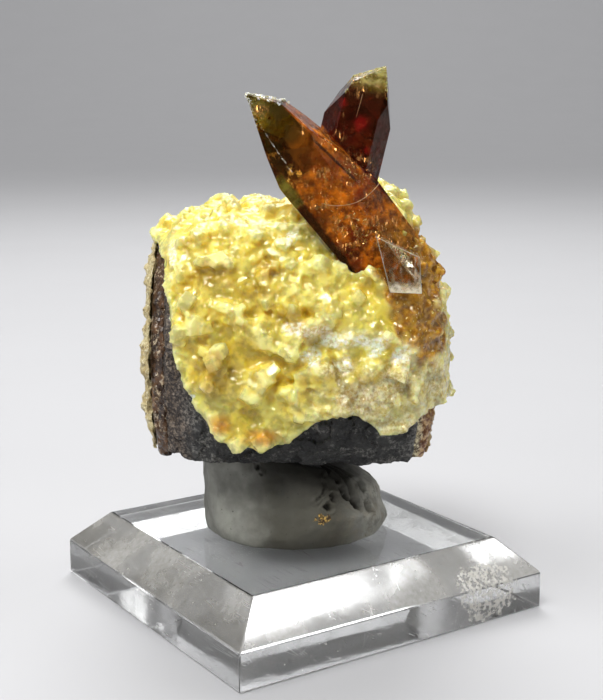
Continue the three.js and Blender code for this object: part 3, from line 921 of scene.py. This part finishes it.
def along_and_across(p, tip, foot):
    """Millimetres down a crystal from its tip, and across it to the right of its middle."""
    return [(p - tip).dot(way) for way in directions(tip, foot)]


# %% Patches of crystals that lean alike
PATCHES = 360
TO_THE_CAMERA = (camera.location - CAMERA_TARGET).normalized()
TO_THE_LAMP = (to_specimen.to_3x3() @ (TO_THE_CAMERA + NEAR_LAMP)).normalized()  # faces turned so will glint


def leaning(way, amount, rng):
    """A direction turned a little at random."""
    return (way + amount * Vector(rng.normal(size=3))).normalized()


def grow_patches(rng):
    """The place, lean, spin and size of each patch, and a search tree of their places."""
    patches = []
    for p, _ in surface_places(lumps, PATCHES, rng):
        lean = Vector(rng.normal(size=3))
        patches.append((p, lean, rng.uniform(0, 2 * math.pi), rng.uniform(0.6, 1.15)))
    nearest = KDTree(len(patches))
    for i, (p, *_) in enumerate(patches):
        nearest.insert(p, i)
    nearest.balance()
    return patches, nearest


def room_at(p):
    """How far a place is from the barites, which the crust's crystals leave free."""
    return min(gap(barite_tree, p), gap(tablet_tree, p))


# %% Crystals all over the crust
CRYSTAL_TRIES = 6000
COARSE = (0.50, 1.55)  # the smallest and the largest edge, in millimetres
FINE = (0.32, 0.72)
SUNK = 0.24  # how far under the surface a crystal's middle lies, as a share of its size


def on_the_crust(rng):
    """Crystals turned like the nearest patch, and smaller where the crust is thin or sugary."""
    patches, nearest = grow_patches(rng)
    placements = []
    for p, out in surface_places(lumps, CRYSTAL_TRIES, rng):
        _, stone_out, _, depth = stone_tree.find_nearest(p)
        if depth < 0.15 or out.dot(stone_out) < -0.2:
            continue
        _, lean, spin, patch_size = patches[nearest.find(p)[1]]
        sugar = in_spots(p, SUGARY)
        low, high = [a + (b - a) * sugar for a, b in zip(COARSE, FINE)]
        size = patch_size * (low + (high - low) * rng.random() ** 2)
        size = min(size, 0.25 + 0.8 * room_at(p), max(0.5, 0.9 * depth))
        axis = leaning((out + (0.6 + 0.3 * sugar) * lean).normalized(), 0.05, rng)
        size *= 1 - 0.35 * max(0.0, abs(out.x) - 0.5)
        sizes = (size, size, size * rng.uniform(0.85, 1.15))
        placements.append(placed(p - out * SUNK * size, axis, spin + rng.normal() * 0.06, sizes))
    return placements


# %% Crystals that turn a flat face to the lamp
MIRRORS_EACH = 3
SMALL_MIRROR_TRIES = 500


def near(tree, x, z, spread, rng):
    """A place on a solid's front, and its way out, at random near x and z."""
    return from_front(tree, x + spread * rng.normal(), z + spread * rng.normal())


def mirror(place, out, wander, sizes, sunk_share, rng):
    axis = leaning(TO_THE_LAMP, wander, rng)
    size = rng.uniform(*sizes)
    middle = place - sunk_share * size * out
    return placed(middle, axis, rng.uniform(0, 6), (size, 0.8 * size, size))


def bright_spots(rng):
    """A few large ones at each of the set places."""
    mirrors = []
    for x, z in MIRRORS:
        for _ in range(MIRRORS_EACH):
            place, out = near(druse_tree, x, z, 0.4, rng)
            if place is not None:
                mirrors.append(mirror(place, out, 0.06, (0.7, 1.3), 0.3, rng))
    return mirrors


def scattered_glints(rng):
    """Small ones where the crust already looks to the lamp."""
    mirrors = []
    for p, out in surface_places(lumps, SMALL_MIRROR_TRIES, rng):
        if out.dot(TO_THE_LAMP) > 0.6 and room_at(p) > 1.0 and gap(stone_tree, p) > 0.6:
            mirrors.append(mirror(p, out, 0.08, (0.35, 0.9), 0.2, rng))
    return mirrors


# %% Crystals on bare stone and on the long crystal's foot
BARE_EACH = 14
FOOT_TRIES = 5000
FOOT_STARTS = 20.0  # millimetres from the tip


def even_one(place, out, sizes, rng):
    """A crystal as long as it is wide that leans freely."""
    axis = leaning(out, 0.5, rng)
    return placed(place, axis, rng.uniform(0, 6), (rng.uniform(*sizes),) * 3)


def on_bare_stone(rng):
    placements = []
    for (x, z), reach in BARE:
        for _ in range(BARE_EACH):
            place, out = near(rock_tree, x, z, reach / 2, rng)
            if place is not None:
                placements.append(even_one(place, out, (0.9, 1.3), rng))
    return placements


def on_the_foot(rng):
    placements = []
    for p, out in surface_places(node_bmesh("barite_crystals"), FOOT_TRIES, rng):
        down, across = along_and_across(p, LONG_TIP, LONG_FOOT)
        if down + 0.5 * across + rng.normal() > FOOT_STARTS and gap(tablet_tree, p) > 0.5:
            placements.append(even_one(p - 0.05 * out, out, (0.25, 0.5), rng))
    return placements


# %% The whole crust
CRUST_SEED = 7
CRUST_VOXEL = 0.14
CRUST_TRIANGLES = 190000

rng = np.random.default_rng(CRUST_SEED)
growing = on_the_crust(rng)
facing = bright_spots(rng)
growing += on_bare_stone(rng)
growing += on_the_foot(rng)
facing += scattered_glints(rng)
print("crust crystals:", len(growing), "and turned to the lamp:", len(facing))
crust = merge(merge(lumps, joined(rhombohedron(), growing)), joined(cube(), facing))
crust = remeshed(crust, CRUST_VOXEL)
soften(crust, rounds=2)
crust = without_crumbs(thinned(crust, CRUST_TRIANGLES))
print("crust points:", len(crust.verts), "faces:", len(crust.faces))

# %% [markdown]
# The finish needs to know what each point is: how far it stands out from the stone, and in which zone it
# lies. Those are kept on the mesh as attributes, and the material reads them.

# %% The crust's attributes
def relief(bm, rounds, full):
    """How far each point stands out of the smoothed mesh: 0 in a crevice, 1 on a crest."""
    soft = bm.copy()
    soften(soft, rounds, share=1.0)
    soft.normal_update()
    heights = [(v.co - s.co).dot(s.normal) / MM / full for v, s in zip(bm.verts, soft.verts)]
    soft.free()
    return [clamp(0.5 + 0.5 * height) for height in heights]


def zone_values(p):
    """The golden, orange, amber, frosted, dusty and sugary shares of a place."""
    depth = gap(stone_tree, p)
    down, across = along_and_across(p, LONG_TIP, LONG_FOOT)
    on_foot = clamp(min((1.0 - gap(barite_tree, p)) * 2, down - 17.0))
    amber = max(on_foot if across > -1 else 0.0, in_spots(p, AMBER, wobble=0.6))
    rim = clamp((0.42 - depth) / 0.15)
    frosted = max(rim, in_spots(p, FROSTED, wobble=0.8))
    return in_spots(p, SHADED_GOLDEN), in_spots(p, ORANGE), amber, frosted, in_spots(p, DUSTY), in_spots(p, SUGARY)


def add_attributes(bm, names, values):
    """One number a point for each name, worked out from the point's place."""
    standing = bm.verts.layers.float.new("relief")
    layers = [bm.verts.layers.float.new(name) for name in names]
    for v, height in zip(bm.verts, relief(bm, rounds=90, full=0.6)):
        v[standing] = height
        for layer, value in zip(layers, values(to_specimen @ v.co)):
            v[layer] = value


add_attributes(crust, ["golden", "orange", "amber", "frosted", "dusty", "sugary"], zone_values)


# %% Yellow calcite
def yellow_calcite():
    f = Finish("yellow_calcite")
    p = f.place()
    standing = f.attribute("relief")
    cloud = f.noise(p, 2.2, detail=4.0).over(0.3, 0.7)
    color = f.mix(cloud, (0.80, 0.62, 0.08), (0.90, 0.80, 0.22))
    # painted shade in the crevices and painted highlight on the crests: the colour follows the relief
    # attribute
    color = f.mix((0.5 - standing).over(0.0, 0.4) * 0.7, color, (0.70, 0.47, 0.03))
    color = f.mix((standing - 0.5).over(0.0, 0.4) * 0.6, color, (0.98, 0.93, 0.48))
    # partly painted shade: the golden spots are darkened towards a deep gold
    color = f.mix(f.attribute("golden") * 0.7, color, (0.50, 0.30, 0.015))
    color = f.mix(f.attribute("orange") * 0.8, color, (0.70, 0.30, 0.012))
    grain = f.noise(p, 0.5, detail=5.0).over(0.35, 0.65)
    amber = f.mix(grain, (0.28, 0.11, 0.004), (0.60, 0.32, 0.025))
    # painted glints: bright golden specks on the amber
    amber = f.mix(f.noise(p, 0.3, detail=3.0).over(0.62, 0.70), amber, (0.95, 0.72, 0.25))
    sugary = f.attribute("sugary").over(0.3, 0.9)
    sugar = f.mix(f.chance(p, 0.3), (0.60, 0.46, 0.14), (0.99, 0.96, 0.72))
    color = f.mix(sugary * 0.5, color, sugar)
    dust = f.noise(p, 0.45, detail=5.0, roughness=0.7).over(0.38, 0.62)
    dust = f.mix(dust, (0.36, 0.22, 0.05), (0.95, 0.90, 0.62))
    color = f.mix(f.attribute("dusty") * 0.6, color, dust)
    amber_share = f.attribute("amber").over(0.2, 0.7)
    color = f.mix(amber_share, color, amber)
    frosted = f.attribute("frosted").over(0.2, 0.8)
    frost_grain = f.noise(p, 0.3, detail=4.0).over(0.35, 0.6)
    frosted = frosted * (0.15 + 0.85 * frost_grain)
    color = f.mix(frosted * 0.85, color, (1.0, 0.97, 0.80))
    fine = f.vector("MULTIPLY", f.facets(p, 0.3, 0.5), sugary.most(frosted) * 0.7)
    fine = f.vector("NORMALIZE", f.vector("ADD", f.facets(p, 0.6, 0.12), fine))
    normal = f.bump(f.noise(p, 0.3, detail=3.0), 0.03, fine)
    body = f.surface(
        Base_Color=color, Roughness=0.10 + frosted * 0.2, IOR=1.62, Normal=normal,
        Specular_Tint=(1, 0.93, 0.74, 1),
        Subsurface_Weight=0.85, Subsurface_Radius=(1.0, 0.75, 0.2), Subsurface_Scale=1.2 * MM,
    )
    clear = f.surface(
        Base_Color=f.mix(0.6, color, (0.99, 0.94, 0.55)), Roughness=0.12, IOR=1.5,
        Transmission_Weight=1.0, Normal=normal,
    )
    icy = f.noise(p, 1.2, detail=3.0).over(0.42, 0.62) * (1.0 - frosted)
    return f.done(f.blend(icy * 0.4, body, clear))


piece("calcite_crust", crust, yellow_calcite(), ["yellow_calcite_druse"])

# %% [markdown]
# ## The amber barite
#
# Barite is glass-clear where it grew quietly and full of healed cracks where it did not. The two long
# crystals are clear amber with smoky olive ends, with an olive window low on the long one's left and red
# glows in the second. Their finish mixes clear glass with a cloudy one, the share following the veils
# inside, and its colour changes along each crystal, measured from the tips. A third finish, a thin metal,
# stands for the healed cracks, which mirror the lamps. The veils could be modelled inside the glass. That
# would be truer, because patterns on the faces don't shift as one walks round the piece, but it takes many
# small shapes, and the patterns keep the two crystals one closed mesh.

# %% The same places for a finish
def along_and_across_values(f, place, tip, foot):
    """Millimetres along and across as shader values."""
    from_tip = f.vector("SUBTRACT", place, tip)
    return [f.along(from_tip, way) for way in directions(tip, foot)]


# %% Glows and glitter
RED_GLOWS = [(5.4, 43.3, 0.65), (3.8, 45.0, 0.5), (5.9, 41.0, 0.4)]  # x, z and reach
GLITTERY = [  # x, z and reach of the places full of small cracks
    (3.05, 42.1, 1.0), (4.9, 39.7, 1.6), (2.3, 39.3, 0.8), (2.1, 36.5, 0.9), (4.8, 34.8, 2.0),
    (7.2, 34.4, 1.7), (4.9, 46.4, 1.0), (7.0, 45.4, 0.5), (-3.0, 44.2, 0.7), (0.4, 42.8, 0.4),
]


def in_soft_spots(f, place, spots, wander):
    """How far a place is inside any of a list of round spots, as a shader value from 0 to 1."""
    shares = []
    for x, z, reach in spots:
        off = f.away(place, (x, 0, z), (1 / reach, 0, 1 / reach))
        shares.append((1.25 - off + wander).over(0.0, 0.8))
    inside = shares[0]
    for share in shares[1:]:
        inside = inside.most(share)
    return inside


# %% Two thin cracks
ARC_MIDDLE = (3.33, 0, 41.23)
ARC_RADIUS = 4.54
FLAW_START = (5.5, 0, 45.8)
FLAW_WAY = (-0.27, 0, -0.96)
BESIDE_FLAW = (0.96, 0, -0.27)
CRACK_WIDTH = 0.045


def thin_cracks(f, p, wander):
    """The arc over the long crystal and the straight flaw in the second one, as a share from 0 to 1."""
    off_arc = abs(f.away(p, ARC_MIDDLE, (1, 0, 1)) - ARC_RADIUS)
    ends = (f.along(p, TO_THE_RIGHT) - 1.9).over(0.0, 0.5) * (38.6 - f.along(p, UP)).over(0.0, 0.2)
    arc = (CRACK_WIDTH - off_arc).over(0.0, 0.025) * ends
    from_start = f.vector("SUBTRACT", p, FLAW_START)
    off_line = abs(f.along(from_start, BESIDE_FLAW))
    on_line = f.along(from_start, FLAW_WAY)
    flaw = (CRACK_WIDTH - off_line + wander * 0.06).over(0.0, 0.03) * 0.7
    flaw = flaw * on_line.over(0.0, 0.2) * (2.3 - on_line).over(0.0, 0.4)
    return arc.most(flaw)


# %% Amber barite
LONG_COLORS = [
    (0.02, (0.40, 0.34, 0.08)), (0.09, (0.065, 0.048, 0.008)), (0.22, (0.040, 0.021, 0.004)),
    (0.34, (0.46, 0.12, 0.008)), (0.52, (0.48, 0.11, 0.008)), (0.62, (0.28, 0.035, 0.006)),
    (0.80, (0.42, 0.11, 0.012)), (1.0, (0.60, 0.34, 0.06)),
]
SECOND_COLORS = [
    (0.02, (0.56, 0.50, 0.14)), (0.12, (0.30, 0.22, 0.04)), (0.20, (0.035, 0.009, 0.003)),
    (0.45, (0.05, 0.003, 0.002)), (0.75, (0.04, 0.004, 0.002)), (0.95, (0.22, 0.03, 0.006)),
]
LONG_SPAN = 22
SECOND_SPAN = 13


def amber_barite():
    f = Finish("amber_barite")
    p = f.place()
    down, across = along_and_across_values(f, p, LONG_TIP, LONG_FOOT)
    down2, _ = along_and_across_values(f, p, SECOND_TIP, SECOND_FOOT)
    wander = f.noise(p, 1.6, detail=4.0) - 0.5
    is_second = (across - down * 0.113 - 1.6).over(0.0, 0.2)
    down_long = (down + across * 0.8 + wander * 4.0) * (1 / LONG_SPAN)
    color = f.add("ShaderNodeValToRGB", {"stops": LONG_COLORS}, {"Fac": down_long})
    left = (across * -1.0 + wander * 0.4).over(2.3, 2.7)
    color = f.mix(left, color, (0.07, 0.030, 0.016))
    window = left * (down - 6.4).over(0.0, 0.5) * (10.0 - down).over(0.0, 0.5)
    color = f.mix(window, color, (0.36, 0.30, 0.035))
    edge = across - down * 0.16 - 0.25  # over 0 on the narrow faces along the crystal's right edge
    right = (edge + wander * 0.4).over(0.05, 0.25) * (1.0 - is_second)
    right = right * (down - 2.2).over(0.0, 0.8) * (13.5 - down).over(0.0, 2.0)
    color = f.mix(right, color, (0.42, 0.11, 0.008))
    down_second = (down2 + wander * 1.6) * (1 / SECOND_SPAN)
    second = f.add("ShaderNodeValToRGB", {"stops": SECOND_COLORS}, {"Fac": down_second})
    color = f.mix(is_second, color, second)

    granular = (down + across * 0.8 + wander * 3.0).over(6.3, 7.6) * (1.0 - is_second)
    granular = granular * (1.0 - left) * 0.95
    granular = granular.most(right * 0.9)
    tips = (2.4 - down + wander * 2.0).over(0.0, 1.5) * 0.75
    tips = tips.most((2.6 - down2 + wander * 2.0).over(0.0, 1.5) * is_second * 0.8)
    granular = granular + (down2 + wander * 3.0).over(2.0, 9.0) * is_second * 0.40
    veil = f.noise(p, 1.9, detail=6.0, roughness=0.62)
    golden = (down + wander * 3.0).over(13.5, 16.5) * (across + wander).over(0.3, 1.3)
    golden = golden * (1.0 - is_second)
    cloudy = (veil.over(0.26, 0.50) * granular * 0.85).most(golden)
    cloudy = cloudy.most(tips * veil.over(0.36, 0.5)) * (1.0 - window)
    cloudy = cloudy + window * 0.4 + 0.05
    grain = f.noise(p, 0.9, detail=5.0, roughness=0.6).over(0.36, 0.62)
    broad = f.noise(p, 2.2, detail=2.0).over(0.38, 0.62)
    ember = f.mix(broad, (0.20, 0.020, 0.003), (0.85, 0.24, 0.010))
    glow = f.mix(is_second * 0.9, f.mix(0.75, color, ember), (0.16, 0.010, 0.005))
    fog_color = f.mix(grain, f.mix(0.6, color, (0.035, 0.005, 0.002)), glow)
    fog_color = f.mix(golden * 0.85, fog_color, f.mix(grain, (0.08, 0.025, 0.003), (0.44, 0.18, 0.014)))
    fog_color = f.mix(tips, fog_color, f.mix(grain, (0.12, 0.09, 0.010), (0.55, 0.50, 0.16)))
    fog_color = f.mix(window, fog_color, f.mix(grain, (0.12, 0.10, 0.012), (0.36, 0.32, 0.05)))
    glittery = in_soft_spots(f, p, GLITTERY, wander)
    red = in_soft_spots(f, p, RED_GLOWS, wander * 2.0) * is_second
    color = f.mix(red * 0.75, color, (0.50, 0.012, 0.012))
    fog_color = f.mix(red * 0.6, fog_color, (0.42, 0.010, 0.012))
    # painted glints: tiny bright specks in the cloudy glass, most of them in the glittery places
    spark = f.noise(p, 0.3, detail=5.0, roughness=0.8)
    spark = (spark + glittery * 0.06).over(0.66, 0.69) * (granular + golden).math("MINIMUM", 1.0)
    fog_color = f.mix(spark * (1.0 - is_second * 0.7), fog_color, (1.0, 0.72, 0.28))
    seam = (0.16 - abs(edge) + wander * 0.15).over(0.0, 0.1) * (down - 3.0).over(0.0, 1.0)
    fog_color = f.mix(seam * (11.5 - down).over(0.0, 1.0) * 0.9, fog_color, (0.02, 0.006, 0.004))

    marks = thin_cracks(f, p, wander)
    fog_color = f.mix(marks, fog_color, (0.62, 0.38, 0.20))

    steps = f.noise(f.place((1, 1, 0.5)), 0.9, detail=3.0)
    normal = f.bump(steps, 0.05, f.facets(p, 0.5, 0.05))
    glass = f.surface(
        Base_Color=color, Roughness=0.05, IOR=1.64, Transmission_Weight=1.0, Normal=normal,
        Specular_Tint=(0.28, 0.14, 0.05, 1),
    )
    fog = f.surface(
        Base_Color=fog_color, Roughness=0.16, IOR=1.5, Normal=f.bump(grain, 0.1, f.facets(p, 0.35, 0.35)),
        Subsurface_Weight=0.6, Subsurface_Radius=(1.0, 0.35, 0.08), Subsurface_Scale=0.6 * MM,
        Specular_Tint=(0.38, 0.19, 0.07, 1),
    )
    inside = f.blend(cloudy.most(marks * 0.8), glass, fog)
    streaks = f.turned(p, (0, 0.7, 0), (2.4, 1.0, 0.6))
    cracks = f.surface(
        Base_Color=(0.60, 0.29, 0.09, 1), Metallic=1.0, Roughness=0.16, Normal=f.facets(streaks, 0.22, 1.0),
    )
    healed = f.noise(p, 0.7, detail=4.0).over(0.48, 0.56) * (glittery * 0.55 + granular * 0.10)
    healed = healed * (1.0 - is_second * 0.4)
    return f.done(f.blend(healed, inside, cracks))


# %% The two crystals
LEFT_EDGE = (Vector((-2.31, -9.16, 40.39)), Vector((7.83, -7.24, 26.87)))
LEFT_CORNER = Vector((-1.37, -8.82, 38.07))  # where the left edge of the front face turns
BARITE_ROUND = 0.07


def barite():
    """The two crystals, the long one's left edge given its bend, and a hair of round on every edge."""
    bm = flat_faced("barite_crystals")
    ends = [min(bm.verts, key=lambda v: (to_specimen @ v.co - end).length) for end in LEFT_EDGE]
    edge = bm.edges.get(ends)
    cut = bmesh.ops.bisect_edges(bm, edges=[edge], cuts=1, edge_percents={edge: 0.2})
    corner = cut["geom_split"][0]
    corner.co = to_frame @ LEFT_CORNER
    return rounded(bm, BARITE_ROUND, angle=8)


piece("amber_barites", barite(), amber_barite(), ["barite_crystals"])

# %% [markdown]
# The last growth was a dust of tiny crystals on the edges of both tips, and the long crystal's left edge is
# nicked all along. A white pattern would look flat there, because frost shows against the sky. So both are
# small crystals half sunk in the barite, strewn near its edges.

# %% Frost on the tips
FROSTY_EDGES = [  # start, end, reach and the size of the crystals
    ((-4.1, -7.5, 45.7), (-1.0, -6.3, 45.15), 0.60, 0.32),
    ((-4.1, -8.1, 45.65), (-1.2, -8.5, 44.9), 0.20, 0.16),
    ((-4.1, -7.5, 45.7), (-3.2, -6.3, 43.4), 0.35, 0.14),
    ((-4.1, -8.1, 45.65), (-3.3, -8.7, 43.3), 0.28, 0.13),
    ((7.4, -4.9, 47.85), (4.6, -6.0, 46.65), 0.40, 0.13),
    ((7.4, -4.5, 47.9), (4.8, -3.9, 47.2), 0.50, 0.16),
    ((7.5, -4.9, 47.8), (7.6, -5.8, 45.2), 0.28, 0.12),
    ((4.6, -6.0, 46.65), (4.05, -6.25, 45.9), 0.28, 0.12),
]
NICKED_LINE = (Vector((-3.0, 43.3)), Vector((-0.3, 39.3)))


FROST_SEED = 11
FROST_TRIES = 50000
NICKS = 60


def frost():
    """Crystals strewn near the frosty edges, and the nicks along the long crystal's left edge."""
    rng = np.random.default_rng(FROST_SEED)
    placements = []
    edges = [(Vector(a), Vector(b), reach, size) for a, b, reach, size in FROSTY_EDGES]
    for p, out in surface_places(node_bmesh("barite_crystals"), FROST_TRIES, rng):
        off, size = min((from_line(p, a, b) / reach, size) for a, b, reach, size in edges)
        if off < 0.15 + 0.7 * rng.random() and noise.noise(p / 0.35) > -0.12:
            axis = leaning(out, 0.7, rng)
            size *= rng.uniform(0.55, 1.0)
            sizes = (0.7 * size, 0.7 * size, size)
            placements.append(placed(p - 0.03 * out, axis, rng.uniform(0, 6), sizes))
    for share in rng.random(NICKS):
        flat = NICKED_LINE[0].lerp(NICKED_LINE[1], share)
        place, out = near(barite_tree, flat.x, flat.y, 0.03, rng)
        spin = rng.uniform(0, 6)
        size = rng.uniform(0.03, 0.03 + 0.05 * share)
        placements.append(placed(place, out, spin, (size,) * 3))
    print("frost crystals:", len(placements))
    return joined(rhombohedron(), placements)


# %% The frost's finish
def frosty():
    f = Finish("frosty_barite")
    p = f.place()
    tint = f.along(p, TO_THE_RIGHT).over(1.0, 3.0)
    pale = f.mix(tint, (0.97, 0.95, 0.78), (0.80, 0.72, 0.26))
    dark = f.mix(tint, (0.42, 0.38, 0.20), (0.24, 0.19, 0.03))
    color = f.mix(f.chance(p, 0.2).over(0.15, 0.5), dark, pale)
    return f.done(f.surface(
        Base_Color=color, Roughness=0.16, IOR=1.64, Transmission_Weight=0.1,
        Subsurface_Weight=0.5, Subsurface_Radius=(1.0, 0.8, 0.4), Subsurface_Scale=0.3 * MM,
    ))


piece("tip_frost", frost(), frosty())

# %% [markdown]
# ## The small clear tablet
#
# A small flat crystal of clear barite leans on the long one. Its veils are faint, its foot is milky where
# it grew from the crust, and its edges are worn; their white is partly wear and partly a painted reflection
# of the pale lines that the edges catch. It could have one finish with a mask for the edges, but the rounds
# that a bevel makes can carry a second finish of their own, which follows every edge exactly.

# %% Clear barite
TABLET_FOOT = 30.0
TABLET_ROUND = 0.06


def clear_barite(name, worn, roughness):
    """Clear barite; worn is the share of its surface that is white and rough, which on the edge rounds is
    partly wear and partly a painted reflection.
    """
    f = Finish(name)
    p = f.place()
    level = f.along(p, UP)
    crumb = f.noise(p, 0.5, detail=5.0, roughness=0.65)
    foot = (TABLET_FOOT + 0.6 - level + (crumb - 0.5) * 2.5).over(0.0, 0.9)
    veils = f.noise(f.place((1.0, 1.0, 0.3)), 0.7, detail=4.0).over(0.58, 0.68) * 0.25
    white = (foot * 0.65).most(veils).most(worn)
    normal = f.bump(f.noise(p, 0.6, detail=3.0), 0.05, f.facets(p, 0.5, 0.08))
    clear = f.surface(
        Base_Color=(1.0, 0.87, 0.62, 1), Roughness=roughness, IOR=1.64, Transmission_Weight=1.0,
        Normal=normal, Specular_Tint=(0.5, 0.34, 0.18, 1),
    )
    milky = f.surface(
        Base_Color=(0.96, 0.87, 0.70, 1), Roughness=0.3, IOR=1.64, Normal=f.bump(crumb, 0.1),
        Subsurface_Weight=0.5, Subsurface_Radius=(1.0, 0.8, 0.6), Subsurface_Scale=0.3 * MM,
    )
    return f.done(f.blend(white, clear, milky))


# %% The tablet itself
tablet = rounded(flat_faced("clear_barite_crystal"), TABLET_ROUND, angle=8, material=1)
glassy = clear_barite("clear_barite", 0.0, 0.04)
clear_tablet = piece("clear_tablet", tablet, glassy, ["clear_barite_crystal"])
# the edge rounds: white and rough, partly wear and partly a painted reflection
clear_tablet.data.materials.append(clear_barite("edge_reflection_barite", 0.32, 0.15))

# %% [markdown]
# ## The floor's finish
#
# A plain pale sheet, matt, so that nothing on it competes with the piece. One flat grey would do, but paper
# has a cloud of two greys in it that keeps a large floor from looking empty.

# %% Pale paper
def pale_paper():
    f = Finish("pale_paper")
    p = f.place()
    color = f.mix(f.noise(p, 30.0, detail=2.0), (0.46, 0.46, 0.47), (0.48, 0.48, 0.49))
    return f.done(f.surface(Base_Color=color, Roughness=0.75))


floor.data.materials.append(pale_paper())
